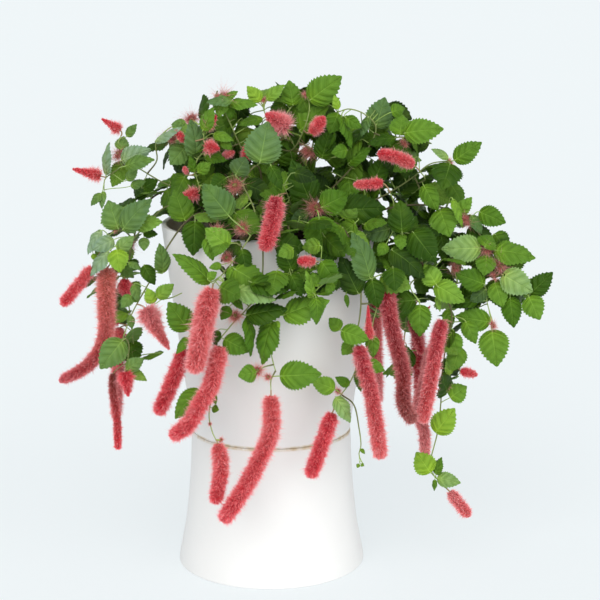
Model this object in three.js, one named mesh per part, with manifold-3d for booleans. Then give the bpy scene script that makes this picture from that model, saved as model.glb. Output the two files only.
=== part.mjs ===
// Potted dwarf chenille plant: a white tapered pot on its flared stand, filled with soil,
// with trailing leafy shoots and red bristly catkins. Millimetres, +Z up, origin on the
// ground under the middle of the pot.
import * as THREE from "three";
import { mergeVertices } from "three/addons/utils/BufferGeometryUtils.js";
import Module from "manifold-3d";

const wasm = await Module();
wasm.setup();

// Pot and stand
const standHeight = 105;
const standFootRadius = 72;
const standTopRadius = 61;
const potHeight = 160;
const potRimRadius = 82;
const potBaseRadius = 60.6;
const wall = 4;
const floorThickness = 5;
const drainRadius = 7;
const lipRound = 0.8;
const roundSides = 24;
// How far up the stand, and how much of its flare is left there
const standFlare = [[0, 1], [0.076, 0.9], [0.2, 0.673], [0.352, 0.427], [0.667, 0.136], [1, 0]];

// Soil
const soilBelowRim = 13;
const soilDome = 2;
const soilFlat = 0.6;
const soilGap = 0.3;
const holeDepth = 12;
const holeClearance = 0.9;
const holeSides = 5;

// Plant
const stemRadius = 1.6;
const branchRadius = 1.25;
const stalkRadius = 1;
const petioleRadius = 0.8;
const rootRadius = 0.35;
const kneeReach = 2.5;
const kneeTurn = 0.1;
const collarHeight = 3;
const stalkKnee = 3;
const rodSides = 3;
const bladeThickness = 1.3;
const neckFlatness = 0.9;
const leafAspect = 0.78;
const slimmest = 0.8;
const leanShare = 0.8;
const leafArch = [0.05, 0.12];
const leafFold = [0.12, 0.28];
const shortestPetiole = 3;
const touchGap = 0.35;
const spare = 0.45;
const leafLift = 3;
const leafShifts = [0, 4, -4, 8, -8, 12, -12, 17, -17, 23, -23, 30, -30];
const leafScales = [1, 0.82];
const shortLeaf = 15;
const longLeaf = 25;
const tuftRing = [1.15, 0.75, 1.15, 0.75, 1.15, 0.75];
const tuftStagger = 0.3;
const headShare = 0.8;
const catkinRelief = 0.16;
const thickCatkin = 6.6;
const weld = 1e-4;

const rimHeight = standHeight + potHeight;
const soilHeight = rimHeight - soilBelowRim;
const golden = (Math.sqrt(5) - 1) / 2;

// The view that the front shoots were traced from. A traced place is [x, y, near]: x and y count
// across and down the picture, and near is how far it lies in front of the pot's axis.
const view = {
  focal: 1728,
  middle: 300,
  pitch: THREE.MathUtils.degToRad(12.1),
  eye: new THREE.Vector3(22.2, -1283, 480),
};

function place([x, y, near]) {
  const across = (x - view.middle) / view.focal;
  const down = (y - view.middle) / view.focal;
  const cos = Math.cos(view.pitch);
  const sin = Math.sin(view.pitch);
  const reach = (-near - view.eye.y) / (cos - down * sin);
  return new THREE.Vector3(
    view.eye.x + reach * across,
    -near,
    view.eye.z - reach * (sin + down * cos),
  );
}

// Solids

function solidOf(geometry) {
  geometry.deleteAttribute("normal");
  geometry.deleteAttribute("uv");
  const merged = mergeVertices(geometry, weld);
  return new wasm.Manifold(new wasm.Mesh({
    numProp: 3,
    vertProperties: merged.attributes.position.array,
    triVerts: new Uint32Array(merged.index.array),
  }));
}

function solidFromFaces(points, faces) {
  const geometry = new THREE.BufferGeometry().setFromPoints(points);
  geometry.setIndex(faces.flat());
  return solidOf(geometry);
}

function meshOf(name, solid, material) {
  const { vertProperties, triVerts } = solid.getMesh();
  const geometry = new THREE.BufferGeometry();
  geometry.setAttribute("position", new THREE.BufferAttribute(vertProperties, 3));
  geometry.setIndex(new THREE.BufferAttribute(triVerts, 1));
  geometry.computeVertexNormals();
  const mesh = new THREE.Mesh(geometry, new THREE.MeshStandardMaterial(material));
  mesh.name = name;
  return mesh;
}

function turned(profile, sides = roundSides) {
  const points = profile.map(([radius, height]) => new THREE.Vector2(radius, height));
  const lathe = new THREE.LatheGeometry(points, sides);
  lathe.rotateX(Math.PI / 2);
  return solidOf(lathe);
}

// A closed tube through the points. radii[i] lists the corner radii of ring i.
function tube(points, radii) {
  const sides = radii[0].length;
  const directions = points.map((point, i) => {
    const before = points[Math.max(i - 1, 0)];
    const after = points[Math.min(i + 1, points.length - 1)];
    return after.clone().sub(before).normalize();
  });
  const helper = Math.abs(directions[0].z) > 0.9 ? new THREE.Vector3(1, 0, 0) : new THREE.Vector3(0, 0, 1);
  let up = helper.clone().addScaledVector(directions[0], -helper.dot(directions[0])).normalize();
  const corners = [];
  points.forEach((point, i) => {
    up = up.clone().addScaledVector(directions[i], -up.dot(directions[i])).normalize();
    const side = directions[i].clone().cross(up);
    for (let j = 0; j < sides; j++) {
      const angle = (j / sides) * 2 * Math.PI;
      const corner = point.clone();
      corner.addScaledVector(side, Math.cos(angle) * radii[i][j]);
      corner.addScaledVector(up, Math.sin(angle) * radii[i][j]);
      corners.push(corner);
    }
  });
  const faces = [];
  for (let i = 0; i + 1 < points.length; i++) {
    for (let j = 0; j < sides; j++) {
      const next = (j + 1) % sides;
      const a = i * sides + j;
      const b = i * sides + next;
      const c = a + sides;
      const d = b + sides;
      faces.push([a, b, d], [a, d, c]);
    }
  }
  const last = (points.length - 1) * sides;
  for (let j = 1; j + 1 < sides; j++) faces.push([0, j + 1, j], [last, last + j, last + j + 1]);
  const solid = solidFromFaces(corners, faces);
  return solid.volume() > 0 ? solid : solidFromFaces(corners, faces.map(([a, b, c]) => [a, c, b]));
}

// A thin stem. rootRadius keeps the end that is sunk into another stem inside it.
function rod(points, radius, rootRadius = radius) {
  return tube(points, points.map((_, i) => Array(rodSides).fill(i ? radius : rootRadius)));
}

// Leaf outlines: the corners on one side, as shares of the length and of half the width, from the
// base over the forward teeth towards the tip, and the stops along the midrib.
const largeBlade = {
  outline: [[0.03, 0.52], [0.26, 1], [0.37, 0.84], [0.55, 0.92], [0.66, 0.6]],
  stops: [0.45],
};
const mediumBlade = {
  outline: [[0.04, 0.56], [0.33, 1], [0.45, 0.8], [0.63, 0.8]],
  stops: [0.45],
};
const smallBlade = {
  outline: [[0.05, 0.6], [0.4, 1], [0.54, 0.68]],
  stops: [0.45],
};

function bladeOf(length) {
  if (length < shortLeaf) return smallBlade;
  return length < longLeaf ? mediumBlade : largeBlade;
}

// A closed blade with its petiole. Both faces are split into the same triangles. grow makes the
// slightly larger copy that tests how clear the leaf lies.
function leafSolid(leaf, grow = 0, petiole = true) {
  const { base, tip, normal, width, arch, fold, root } = leaf;
  const along = tip.clone().sub(base);
  const { outline, stops } = bladeOf(along.length());
  const length = along.length() + grow;
  along.normalize();
  const side = along.clone().cross(normal);
  const half = width / 2 + grow;
  const surface = (share, across) => {
    const rise = arch * length * 4 * share * (1 - share) - fold * Math.abs(across);
    return base.clone()
      .addScaledVector(along, share * length)
      .addScaledVector(side, across)
      .addScaledVector(normal, rise);
  };
  const points = [];
  const add = (point) => points.push(point) - 1;
  const lift = (point, height) => point.clone().addScaledVector(normal, height);
  const neck = petioleRadius + grow;
  const right = [add(surface(0, neck)), ...outline.map(([u, v]) => add(surface(u, v * half)))];
  const left = [add(surface(0, -neck)), ...outline.map(([u, v]) => add(surface(u, -v * half)))];
  const thick = bladeThickness / 2 + grow;
  const top = [
    add(lift(surface(0, 0), neck * neckFlatness)),
    ...stops.map((u) => add(lift(surface(u, 0), thick))),
  ];
  const under = [
    add(lift(surface(0, 0), -neck * neckFlatness)),
    ...stops.map((u) => add(lift(surface(u, 0), -thick))),
  ];
  const end = add(surface(1, 0));
  const faces = [];
  const strip = (middle, edge, flip) => {
    const face = (a, b, c) => faces.push(flip ? [a, c, b] : [a, b, c]);
    let i = 0;
    let j = 0;
    while (i < middle.length - 1 || j < edge.length - 1) {
      const stop = i < stops.length ? stops[i] : 1;
      const corner = j < outline.length ? outline[j][0] : 1;
      if (stop < corner && i < middle.length - 1) {
        face(middle[i], edge[j], middle[i + 1]);
        i += 1;
      } else {
        face(middle[i], edge[j], edge[j + 1]);
        j += 1;
      }
    }
    face(middle[i], edge[j], end);
  };
  strip(top, right, false);
  strip(top, left, true);
  strip(under, right, true);
  strip(under, left, false);
  const neckRing = [right[0], top[0], left[0], under[0]];
  if (!petiole) {
    faces.push([neckRing[0], neckRing[1], neckRing[2]], [neckRing[0], neckRing[2], neckRing[3]]);
    return solidFromFaces(points, faces);
  }
  const reach = base.clone().sub(root);
  let ring = neckRing;
  if (reach.dot(along) < kneeTurn * reach.length()) {
    ring = neckRing.map((corner) => add(points[corner].clone().addScaledVector(along, -kneeReach)));
    for (let j = 0; j < 4; j++) {
      const next = (j + 1) % 4;
      faces.push([ring[j], neckRing[next], ring[next]], [ring[j], neckRing[j], neckRing[next]]);
    }
    reach.addScaledVector(along, -kneeReach);
  }
  reach.normalize();
  const across = reach.clone().cross(normal).normalize();
  const upward = across.clone().cross(reach);
  const [footRight, footTop, footLeft] = [[1, -0.6], [0, 1], [-1, -0.6]].map(([x, y]) => add(
    root.clone().addScaledVector(across, x * rootRadius).addScaledVector(upward, y * rootRadius),
  ));
  const [neckRight, neckTop, neckLeft, neckUnder] = ring;
  faces.push(
    [footRight, neckTop, footTop],
    [footRight, neckRight, neckTop],
    [footTop, neckLeft, footLeft],
    [footTop, neckTop, neckLeft],
    [footLeft, neckUnder, footRight],
    [footLeft, neckLeft, neckUnder],
    [footRight, neckUnder, neckRight],
    [footRight, footTop, footLeft],
  );
  return solidFromFaces(points, faces);
}

// A young head: a small star of tufts.
function headSolid(centre, radius) {
  const points = tuftRing.map((reach, i) => {
    const angle = (i / tuftRing.length) * 2 * Math.PI;
    const tuft = new THREE.Vector3(Math.cos(angle), tuftStagger * (i % 2), Math.sin(angle));
    return tuft.multiplyScalar(radius * reach).add(centre);
  });
  const front = points.push(centre.clone().add(new THREE.Vector3(0, -radius, 0))) - 1;
  const back = points.push(centre.clone().add(new THREE.Vector3(0, radius, 0))) - 1;
  const faces = tuftRing.flatMap((_, i) => {
    const next = (i + 1) % tuftRing.length;
    return [[front, i, next], [back, next, i]];
  });
  return solidFromFaces(points, faces);
}

// A catkin: a tapered tube, rounded at both ends, with every other corner raised as a bristle tuft.
function catkinSolid(route, radius, taper) {
  const sides = radius > thickCatkin ? 8 : 6;
  const step = radius * catkinStep;
  const line = splineThrough(route, 8);
  const total = lengthOf(line);
  const count = Math.max(4, Math.round(total / step));
  const points = [];
  const radii = [];
  for (let i = 0; i <= count; i++) {
    const share = i / count;
    points.push(pointAt(line, share * total));
    const start = Math.min(1, 0.4 + 0.4 * share * (total / radius));
    const finish = Math.min(1, 0.35 + 1.1 * (1 - share) * (total / radius));
    const size = radius * start * finish * (1 - taper * share);
    const relief = i === 0 ? 0 : catkinRelief;
    radii.push(Array.from({ length: sides }, (_, j) => size * ((i + j) % 2 ? 1 - relief : 1 + relief)));
  }
  return tube(points, radii);
}

// Routes

function splineThrough(points, perSpan) {
  const line = [];
  for (let i = 0; i + 1 < points.length; i++) {
    const [p, q] = [points[i], points[i + 1]];
    const before = i > 0 ? points[i - 1] : p.clone().multiplyScalar(2).sub(q);
    const after = i + 2 < points.length ? points[i + 2] : q.clone().multiplyScalar(2).sub(p);
    for (let k = 0; k < perSpan; k++) {
      const t = k / perSpan;
      const point = new THREE.Vector3();
      point.addScaledVector(before, (-t + 2 * t * t - t * t * t) / 2);
      point.addScaledVector(p, (2 - 5 * t * t + 3 * t * t * t) / 2);
      point.addScaledVector(q, (t + 4 * t * t - 3 * t * t * t) / 2);
      point.addScaledVector(after, (-t * t + t * t * t) / 2);
      line.push(point);
    }
  }
  line.push(points[points.length - 1].clone());
  return line;
}

function lengthOf(line) {
  return line.reduce((sum, point, i) => sum + (i ? point.distanceTo(line[i - 1]) : 0), 0);
}

function pointAt(line, distance) {
  let left = distance;
  for (let i = 1; i < line.length; i++) {
    const step = line[i].distanceTo(line[i - 1]);
    if (left <= step) return line[i - 1].clone().lerp(line[i], left / step);
    left -= step;
  }
  return line[line.length - 1].clone();
}

// Front shoots, traced from the picture. root is where the shoot stands in the soil: [x, near].
// The first stem rises from the root, and each further one leaves the nearest stem. A leaf is
// [base x, base y, tip x, tip y, width, nearer]. A head is [x, y, radius, nearer].
const frontShoots = [
  {
    name: "shoot_left_top",
    root: [-36, 4],
    stems: [
      [[206, 212, 8], [184, 193, 12], [160, 181, 16], [140, 169, 20], [126, 161, 22]],
      [[157, 160, 14], [156, 143, 14], [168, 129, 12], [180, 124, 10]],
      [[118, 146, 23], [121, 136, 23]],
      [[114, 172, 24], [105, 179, 24], [104, 190, 25]],
    ],
    leaves: [
      [106, 174, 110, 142, 9], [122, 160, 151, 149, 20], [126, 166, 155, 160, 14], [124, 163, 112, 187, 18],
      [156, 141, 182, 127, 8], [185, 147, 170, 165, 22],
    ],
    heads: [[119, 154, 8], [173, 139, 5]],
  },
  {
    name: "shoot_left_middle",
    root: [-48, 18],
    stems: [
      [[190, 212, 20], [168, 206, 25], [150, 221, 33], [136, 236, 38], [124, 250, 42]],
      [[124, 231, 38], [112, 233, 38], [105, 241, 38]],
    ],
    leaves: [
      [118, 228, 108, 200, 26], [123, 229, 152, 199, 24], [134, 224, 163, 222, 17], [139, 232, 158, 234, 9],
      [101, 231, 88, 255, 10], [113, 240, 92, 250, 16], [118, 250, 134, 236, 14],
      [117, 250, 120, 273, 20, 4], [108, 252, 90, 276, 13, 4],
    ],
    heads: [],
  },
  {
    name: "shoot_left_hanging",
    root: [-38, 34],
    stems: [
      [[203, 214, 46], [186, 222, 56], [172, 240, 65], [160, 260, 67], [150, 281, 67], [138, 302, 65],
        [130, 318, 64], [123, 338, 64]],
      [[129, 345, 64], [127, 366, 66]],
      [[158, 298, 68], [170, 298, 70], [182, 293, 72]],
    ],
    leaves: [
      [163, 272, 159, 243, 16], [144, 266, 155, 285, 14], [157, 297, 174, 284, 14],
      [122, 341, 100, 369, 26], [127, 369, 144, 358, 14], [128, 371, 147, 381, 11],
      [195, 222, 193, 256, 24],
    ],
    heads: [],
  },
  {
    name: "shoot_centre_left",
    root: [-8, 10],
    stems: [
      [[258, 212, 20], [262, 186, 30], [258, 166, 42], [249, 172, 52], [243, 184, 60], [249, 197, 70],
        [255, 213, 82], [253, 230, 93], [246, 243, 98], [237, 256, 100], [228, 268, 102]],
      [[220, 277, 104], [213, 284, 106]],
      [[236, 243, 99], [226, 245, 100]],
    ],
    leaves: [
      [229, 216, 203, 184, 30], [228, 246, 205, 228, 22], [241, 213, 227, 238, 14],
      [242, 250, 247, 273, 16], [230, 268, 243, 289, 16], [236, 289, 276, 300, 20],
      [206, 239, 213, 261, 13], [210, 281, 172, 254, 18, -6], [226, 178, 211, 188, 18],
      [236, 174, 246, 157, 20], [260, 162, 268, 121, 36],
    ],
    heads: [[243, 228, 7], [217, 231, 6], [227, 258, 6], [232, 291, 7], [235, 186, 8]],
  },
  {
    name: "shoot_low_left",
    root: [-4, 40],
    stems: [
      [[262, 222, 70], [263, 232, 87], [263, 250, 94], [262, 278, 96], [255, 298, 97], [244, 312, 98],
        [234, 322, 99], [224, 334, 100], [216, 343, 101]],
      [[268, 300, 97], [272, 322, 98], [270, 345, 98], [273, 362, 100], [276, 372, 101]],
      [[271, 380, 102], [271, 390, 103]],
      [[264, 367, 101], [258, 371, 102]],
      [[213, 370, 92], [211, 398, 90], [209, 416, 94], [212, 431, 98], [216, 440, 102]],
    ],
    leaves: [
      [247, 315, 288, 309, 22], [247, 318, 250, 357, 11], [271, 322, 262, 365, 22],
      [224, 339, 249, 352, 22], [188, 329, 168, 302, 26, -8], [187, 338, 176, 354, 9, -10],
      [281, 376, 322, 374, 28], [256, 372, 238, 376, 18], [199, 391, 175, 419, 20, -4],
      [251, 282, 287, 292, 20], [284, 315, 330, 300, 26],
    ],
    heads: [[235, 316, 7], [257, 371, 7]],
  },
  {
    name: "shoot_rosette",
    root: [20, 16],
    stems: [
      [[300, 222, 36], [312, 214, 50], [316, 209, 58]],
      [[330, 213, 42]],
      [[292, 206, 46], [286, 191, 62], [283, 185, 74]],
    ],
    leaves: [
      [322, 207, 348, 194, 26], [319, 218, 325, 260, 33, 6], [340, 210, 386, 208, 30],
      [311, 205, 291, 160, 30], [308, 213, 290, 222, 14], [337, 217, 339, 248, 11],
      [283, 213, 293, 238, 16], [271, 166, 282, 190, 13],
    ],
    heads: [[316, 208, 9]],
  },
  {
    name: "shoot_centre_low",
    root: [14, 44],
    stems: [
      [[288, 226, 74], [290, 236, 89], [290, 255, 95], [290, 272, 97], [299, 285, 98], [314, 297, 99]],
      [[308, 266, 98], [321, 261, 99]],
    ],
    leaves: [
      [292, 270, 280, 242, 22], [288, 274, 280, 295, 16], [291, 275, 302, 297, 16],
      [322, 262, 337, 283, 20], [313, 297, 306, 270, 10], [316, 298, 316, 325, 14],
    ],
    heads: [],
  },
  {
    name: "shoot_right_low",
    root: [42, 32],
    stems: [
      [[330, 222, 52], [346, 232, 68], [354, 255, 73], [360, 280, 74], [361, 300, 74], [360, 315, 74],
        [357, 335, 74], [357, 352, 73], [356, 368, 74], [349, 384, 78], [340, 396, 80], [336, 403, 80]],
      [[370, 279, 72], [384, 273, 68], [393, 268, 64]],
      [[376, 305, 71], [373, 322, 70], [371, 338, 70]],
      [[354, 405, 73], [359, 428, 75], [361, 445, 76], [359, 455, 76], [364, 466, 77]],
    ],
    leaves: [
      [370, 278, 352, 232, 24], [358, 293, 340, 256, 26], [372, 280, 378, 308, 20],
      [393, 268, 395, 291, 22], [342, 331, 369, 340, 20, 8], [372, 336, 373, 358, 14],
      [366, 363, 385, 371, 14], [336, 398, 350, 423, 15], [334, 389, 311, 380, 18],
      [359, 370, 361, 392, 10],
    ],
    heads: [],
  },
  {
    name: "shoot_right_centre",
    root: [54, 10],
    stems: [
      [[345, 218, 30], [368, 223, 40], [388, 228, 47], [402, 232, 50], [414, 234, 51]],
      [[394, 206, 50], [389, 190, 54]],
      [[399, 248, 52], [392, 268, 56], [388, 282, 60]],
    ],
    leaves: [
      [402, 232, 400, 200, 26], [413, 232, 436, 262, 30], [389, 229, 360, 236, 20],
      [392, 250, 425, 278, 24],
    ],
    heads: [],
  },
  {
    name: "shoot_left_crown",
    root: [-22, -12],
    stems: [
      [[234, 205, -2], [240, 180, 6], [243, 156, 12], [234, 132, 17], [225, 112, 20], [223, 103, 20]],
      [[222, 150, 17], [206, 152, 22], [197, 160, 25], [196, 174, 28], [199, 186, 29]],
      [[204, 141, 24], [204, 132, 26]],
    ],
    leaves: [
      [203, 130, 213, 107, 14], [231, 101, 206, 103, 10], [230, 103, 258, 105, 11],
      [197, 157, 190, 119, 22], [214, 134, 234, 141, 10], [205, 155, 228, 160, 12],
      [236, 178, 214, 160, 24, -10], [240, 196, 262, 184, 22, -12],
    ],
    heads: [[222, 97, 9]],
  },
  {
    name: "shoot_middle_crown",
    root: [4, -16],
    stems: [
      [[268, 205, -8], [272, 170, -4], [280, 135, 2], [286, 115, 4], [292, 106, 4]],
      [[268, 118, 8], [262, 104, 10]],
      [[292, 150, 8], [303, 132, 12], [309, 112, 12], [309, 101, 11]],
      [[312, 150, 16], [322, 158, 20], [336, 157, 22]],
    ],
    leaves: [
      [260, 101, 247, 86, 14], [267, 99, 285, 85, 12], [293, 105, 289, 80, 20], [262, 119, 238, 126, 10],
      [310, 100, 342, 76, 28], [300, 130, 326, 107, 26], [322, 158, 330, 130, 22],
      [272, 175, 254, 148, 24, -8], [276, 160, 300, 145, 22, -8],
    ],
    heads: [[309, 152, 8], [306, 95, 3.5]],
  },
  {
    name: "shoot_right_crown",
    root: [32, -8],
    stems: [
      [[318, 205, 4], [345, 175, 10], [368, 148, 14], [376, 128, 16], [366, 115, 18], [350, 109, 18],
        [338, 112, 18]],
      [[388, 138, 19], [402, 137, 23], [420, 138, 22]],
    ],
    leaves: [
      [338, 114, 329, 134, 18], [342, 117, 352, 149, 9], [346, 118, 362, 128, 12], [368, 118, 361, 137, 9],
      [376, 127, 385, 97, 26], [395, 138, 367, 145, 11], [400, 134, 402, 114, 22], [405, 133, 444, 129, 24],
      [390, 145, 412, 156, 16], [375, 180, 384, 157, 20], [349, 163, 372, 148, 14],
      [325, 196, 306, 172, 24, -8], [348, 176, 352, 202, 22, -10], [354, 168, 332, 172, 20, -8],
    ],
    heads: [],
  },
  {
    name: "shoot_right_top",
    root: [46, -6],
    stems: [
      [[350, 212, 2], [385, 195, 8], [412, 178, 14], [430, 164, 18], [450, 161, 20]],
      [[424, 196, 20], [438, 209, 26], [441, 230, 28]],
      [[425, 179, 30], [418, 169, 38]],
    ],
    leaves: [
      [455, 160, 482, 142, 20], [450, 164, 442, 190, 30, 4], [448, 158, 431, 149, 8],
      [424, 186, 438, 211, 18], [440, 210, 450, 237, 28], [440, 232, 445, 262, 16],
    ],
    heads: [],
  },
  {
    name: "shoot_right",
    root: [62, 0],
    stems: [
      [[372, 214, 6], [410, 205, 12], [444, 208, 20], [466, 220, 27], [484, 240, 32], [500, 262, 36],
        [512, 285, 36], [527, 295, 36]],
    ],
    leaves: [
      [458, 214, 472, 197, 14], [453, 200, 462, 228, 8], [472, 216, 482, 234, 11], [480, 212, 506, 223, 20],
      [480, 248, 441, 249, 26, 5], [485, 246, 492, 235, 20], [487, 256, 484, 276, 20, 5],
      [495, 250, 536, 258, 22], [503, 275, 533, 292, 26, 4], [530, 294, 553, 272, 20],
      [529, 297, 540, 320, 22], [495, 283, 503, 307, 20], [510, 298, 514, 328, 20],
    ],
    heads: [[467, 221, 7, 4], [486, 249, 7, 5], [500, 266, 8, 4]],
  },
  {
    name: "shoot_right_hanging",
    root: [60, 20],
    stems: [
      [[366, 222, 30], [392, 240, 35], [414, 256, 42], [432, 276, 44], [446, 296, 44], [452, 318, 42],
        [446, 345, 40], [442, 375, 40], [441, 400, 40], [438, 430, 41], [431, 458, 42], [430, 470, 42],
        [438, 480, 42], [447, 489, 42]],
      [[455, 284, 42], [470, 282, 40], [485, 287, 38], [487, 302, 38], [492, 320, 38]],
      [[456, 350, 42], [459, 366, 42]],
      [[410, 285, 55], [420, 302, 58]],
    ],
    leaves: [
      [484, 284, 455, 273, 22], [436, 285, 465, 302, 22, 5], [436, 284, 424, 264, 20, 5],
      [485, 290, 470, 303, 14], [489, 322, 455, 316, 22], [466, 322, 476, 344, 16],
      [447, 310, 450, 331, 12], [452, 334, 458, 357, 17], [492, 331, 497, 367, 29],
      [450, 374, 449, 352, 10], [451, 397, 467, 386, 20], [436, 432, 455, 408, 24],
      [430, 472, 416, 452, 22], [438, 478, 461, 483, 15], [419, 303, 380, 305, 24],
      [420, 306, 420, 337, 22],
    ],
    heads: [[455, 268, 6]],
  },
];

// Front catkins: the picture radius, how much it tapers, and the route from the stalk to the tip.
const frontCatkins = [
  ["shoot_left_top", 6, 0.7, [[120, 130, 24], [102, 119, 26]]],
  ["shoot_left_top", 7, 0.7, [[100, 176, 26], [73, 169, 28]]],
  ["shoot_left_middle", 7, 0.1, [[92, 268, 46], [77, 287, 49], [62, 305, 51]]],
  ["shoot_left_middle", 10, 0.4, [[107, 269, 42], [106, 300, 45], [106, 330, 46], [100, 350, 47], [85, 368, 49],
    [60, 381, 51]]],
  ["shoot_left_middle", 6, 0.1, [[125, 280, 36], [125, 296, 36]]],
  ["shoot_left_hanging", 5, 0, [[113, 374, 56], [113, 392, 57], [117, 418, 58], [118, 449, 58]]],
  ["shoot_left_hanging", 8.5, 0.5, [[146, 309, 76], [155, 326, 78], [169, 349, 80]]],
  ["shoot_left_hanging", 8, 0.4, [[125, 373, 74], [127, 384, 75], [128, 396, 75]]],
  ["shoot_centre_left", 12, 0.15, [[212, 290, 113], [206, 312, 115], [201, 338, 115], [194, 372, 113]]],
  ["shoot_low_left", 9, 0.1, [[185, 350, 78], [171, 385, 78], [158, 414, 78]]],
  ["shoot_low_left", 10, 0.1, [[220, 348, 106], [211, 386, 107], [203, 399, 107], [188, 425, 106], [171, 437, 105]]],
  ["shoot_low_left", 9, 0.1, [[218, 445, 104], [221, 469, 104], [215, 503, 104]]],
  ["shoot_low_left", 9.5, 0, [[271, 397, 104], [271, 431, 106], [261, 456, 108], [248, 482, 110],
    [236, 501, 111], [223, 521, 112]]],
  ["shoot_rosette", 10, 0.1, [[276, 198, 98], [274, 215, 101], [269, 235, 104], [264, 250, 107]]],
  ["shoot_centre_low", 6, 0.1, [[315, 261, 105], [298, 261, 107]]],
  ["shoot_right_low", 8.5, 0, [[332, 414, 84], [322, 444, 86], [310, 477, 88]]],
  ["shoot_right_low", 7.5, 0, [[359, 347, 88], [364, 367, 89], [371, 392, 89], [375, 418, 90], [381, 458, 90]]],
  ["shoot_right_centre", 6.5, 0.3, [[382, 183, 58], [354, 185, 61]]],
  ["shoot_right_centre", 7.5, 0.1, [[387, 289, 64], [390, 319, 67], [397, 348, 71], [403, 373, 75], [404, 405, 79],
    [414, 422, 82]]],
  ["shoot_left_crown", 6, 0.3, [[205, 127, 29], [216, 116, 30]]],
  ["shoot_left_crown", 7, 0.2, [[206, 146, 33], [219, 149, 35]]],
  ["shoot_left_crown", 6, 0.2, [[248, 158, 20], [246, 144, 21]]],
  ["shoot_left_crown", 7, 0.7, [[197, 193, 36], [177, 198, 40]]],
  ["shoot_middle_crown", 9, 0.2, [[287, 127, 30], [266, 114, 32]]],
  ["shoot_middle_crown", 7, 0.1, [[312, 133, 34], [324, 117, 35]]],
  ["shoot_right_top", 7.5, 0.2, [[413, 165, 42], [396, 157, 44], [378, 153, 44]]],
  ["shoot_right_hanging", 7.5, 0, [[442, 321, 60], [436, 348, 62], [431, 379, 62], [422, 422, 62]]],
  ["shoot_right_hanging", 7, 0.1, [[432, 346, 28], [425, 380, 28], [417, 410, 28], [424, 430, 29], [425, 457, 29]]],
  ["shoot_right_hanging", 5.5, 0.2, [[411, 320, 40], [417, 338, 40], [422, 354, 40]]],
  ["shoot_right_hanging", 6, 0.3, [[461, 371, 44], [477, 375, 45]]],
  ["shoot_right_hanging", 7, 0.1, [[450, 492, 44], [469, 516, 45]]],
];
const catkinStretch = 0.95;
const catkinStep = 1.55;

// Back shoots, round the side that the picture doesn't show, each set by its bearing. A golden
// ratio sequence varies them.
const backShoots = {
  bearings: [14, 50, 88, 124, 162],
  rootRadius: 40,
  swing: [-0.16, 0.16],
  hang: [95, 150],
  crownHeight: [64, 96],
  // Radius, height above the rim, share of the hang, share of the swing
  over: [[54, 13, 0, 0], [74, 22, 0, 0.3], [100, 8, 0, 0.6], [114, 0, 0.35, 1], [112, 0, 0.7, 1],
    [108, 0, 1, 1]],
  // Radius, share of the crown height, share of the swing
  crown: [[50, 0.6, -1], [66, 1, -1.4], [88, 0.92, -1.8]],
  firstLeaf: 18,
  leafSpacing: 31,
  leafLength: [25, 34],
  leafDrop: 0.75,
  petiole: [7, 12],
  catkinLength: [60, 95],
  catkinRadius: 6.2,
  catkinTaper: 0.12,
  catkinOffset: [10, 15],
};

let draws = 0;
function draw(range) {
  draws += 1;
  return between(range, (draws * golden) % 1);
}

// The line through a shoot's stems, and how a leaf, a head or a stalk finds its place on it. Leaves
// keep a small spacing between their places, in picture units.
const nodeSpacing = 5;

function traceStems(shoot) {
  const traces = [];
  for (const stem of shoot.stems) {
    const start = traces.length ? [nearestOn(traces, stem[0])] : [];
    traces.push([...start, ...stem]);
  }
  return traces;
}

function nearestOn(traces, [x, y], toward = null, taken = []) {
  const steps = 8;
  let best = null;
  for (const trace of traces) {
    for (let i = 0; i + 1 < trace.length; i++) {
      for (let k = 1; k < steps; k++) {
        const spot = trace[i].map((value, axis) => value + (trace[i + 1][axis] - value) * (k / steps));
        const [dx, dy] = [x - spot[0], y - spot[1]];
        const distance = Math.hypot(dx, dy) + 1e-6;
        const facing = toward ? (dx * toward[0] + dy * toward[1]) / distance : 1;
        const crowded = taken.some(([a, b]) => Math.hypot(a - spot[0], b - spot[1]) < nodeSpacing);
        const cost = distance * (1.6 - facing) + (crowded ? 12 : 0);
        if (!best || cost < best.cost) best = { cost, spot };
      }
    }
  }
  return best.spot;
}

// A traced leaf. Its real length follows from its width, so a leaf that looks short leans toward
// or away from the viewer, and one that looks narrow is turned about its length.
function tracedLeaf(spot, row, index, shift, scale) {
  const [x, y, tipX, tipY, wide, nearer = 0] = row;
  const long = Math.hypot(tipX - x, tipY - y);
  const near = spot[2] + leafLift + nearer + shift;
  const base = place([x, y, near]);
  const perPixel = base.distanceTo(view.eye) / view.focal;
  const apparentLength = long * perPixel;
  const apparentWidth = wide * perPixel;
  const natural = apparentWidth / leafAspect;
  const hidden = Math.sqrt(Math.max(0, natural ** 2 - apparentLength ** 2));
  const lean = (tipY > y - 4 ? 1 : -1) * hidden * leanShare;
  const tip = place([tipX, tipY, near + lean]);
  const root = place(spot);
  const along = tip.clone().sub(base).normalize();
  if (base.distanceTo(root) < shortestPetiole) base.copy(root).addScaledVector(along, shortestPetiole);
  const length = Math.max(natural, apparentLength);
  const width = Math.max(apparentWidth, length * leafAspect * slimmest);
  const turn = Math.acos(Math.min(1, apparentWidth / width));
  const sight = view.eye.clone().sub(base).normalize();
  const facing = sight.addScaledVector(along, -sight.dot(along)).normalize();
  const across = along.clone().cross(facing);
  const sideways = across.z > 0 ? turn : -turn;
  const normal = facing.clone().multiplyScalar(Math.cos(turn)).addScaledVector(across, Math.sin(sideways));
  tip.sub(base).multiplyScalar(scale).add(base);
  return { base, tip, normal, width: width * scale, root, ...bend(index) };
}

function between([low, high], share) {
  return low + (high - low) * share;
}

function bend(index) {
  return {
    arch: between(leafArch, (index * golden) % 1),
    fold: between(leafFold, (index * golden * golden) % 1),
  };
}

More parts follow.
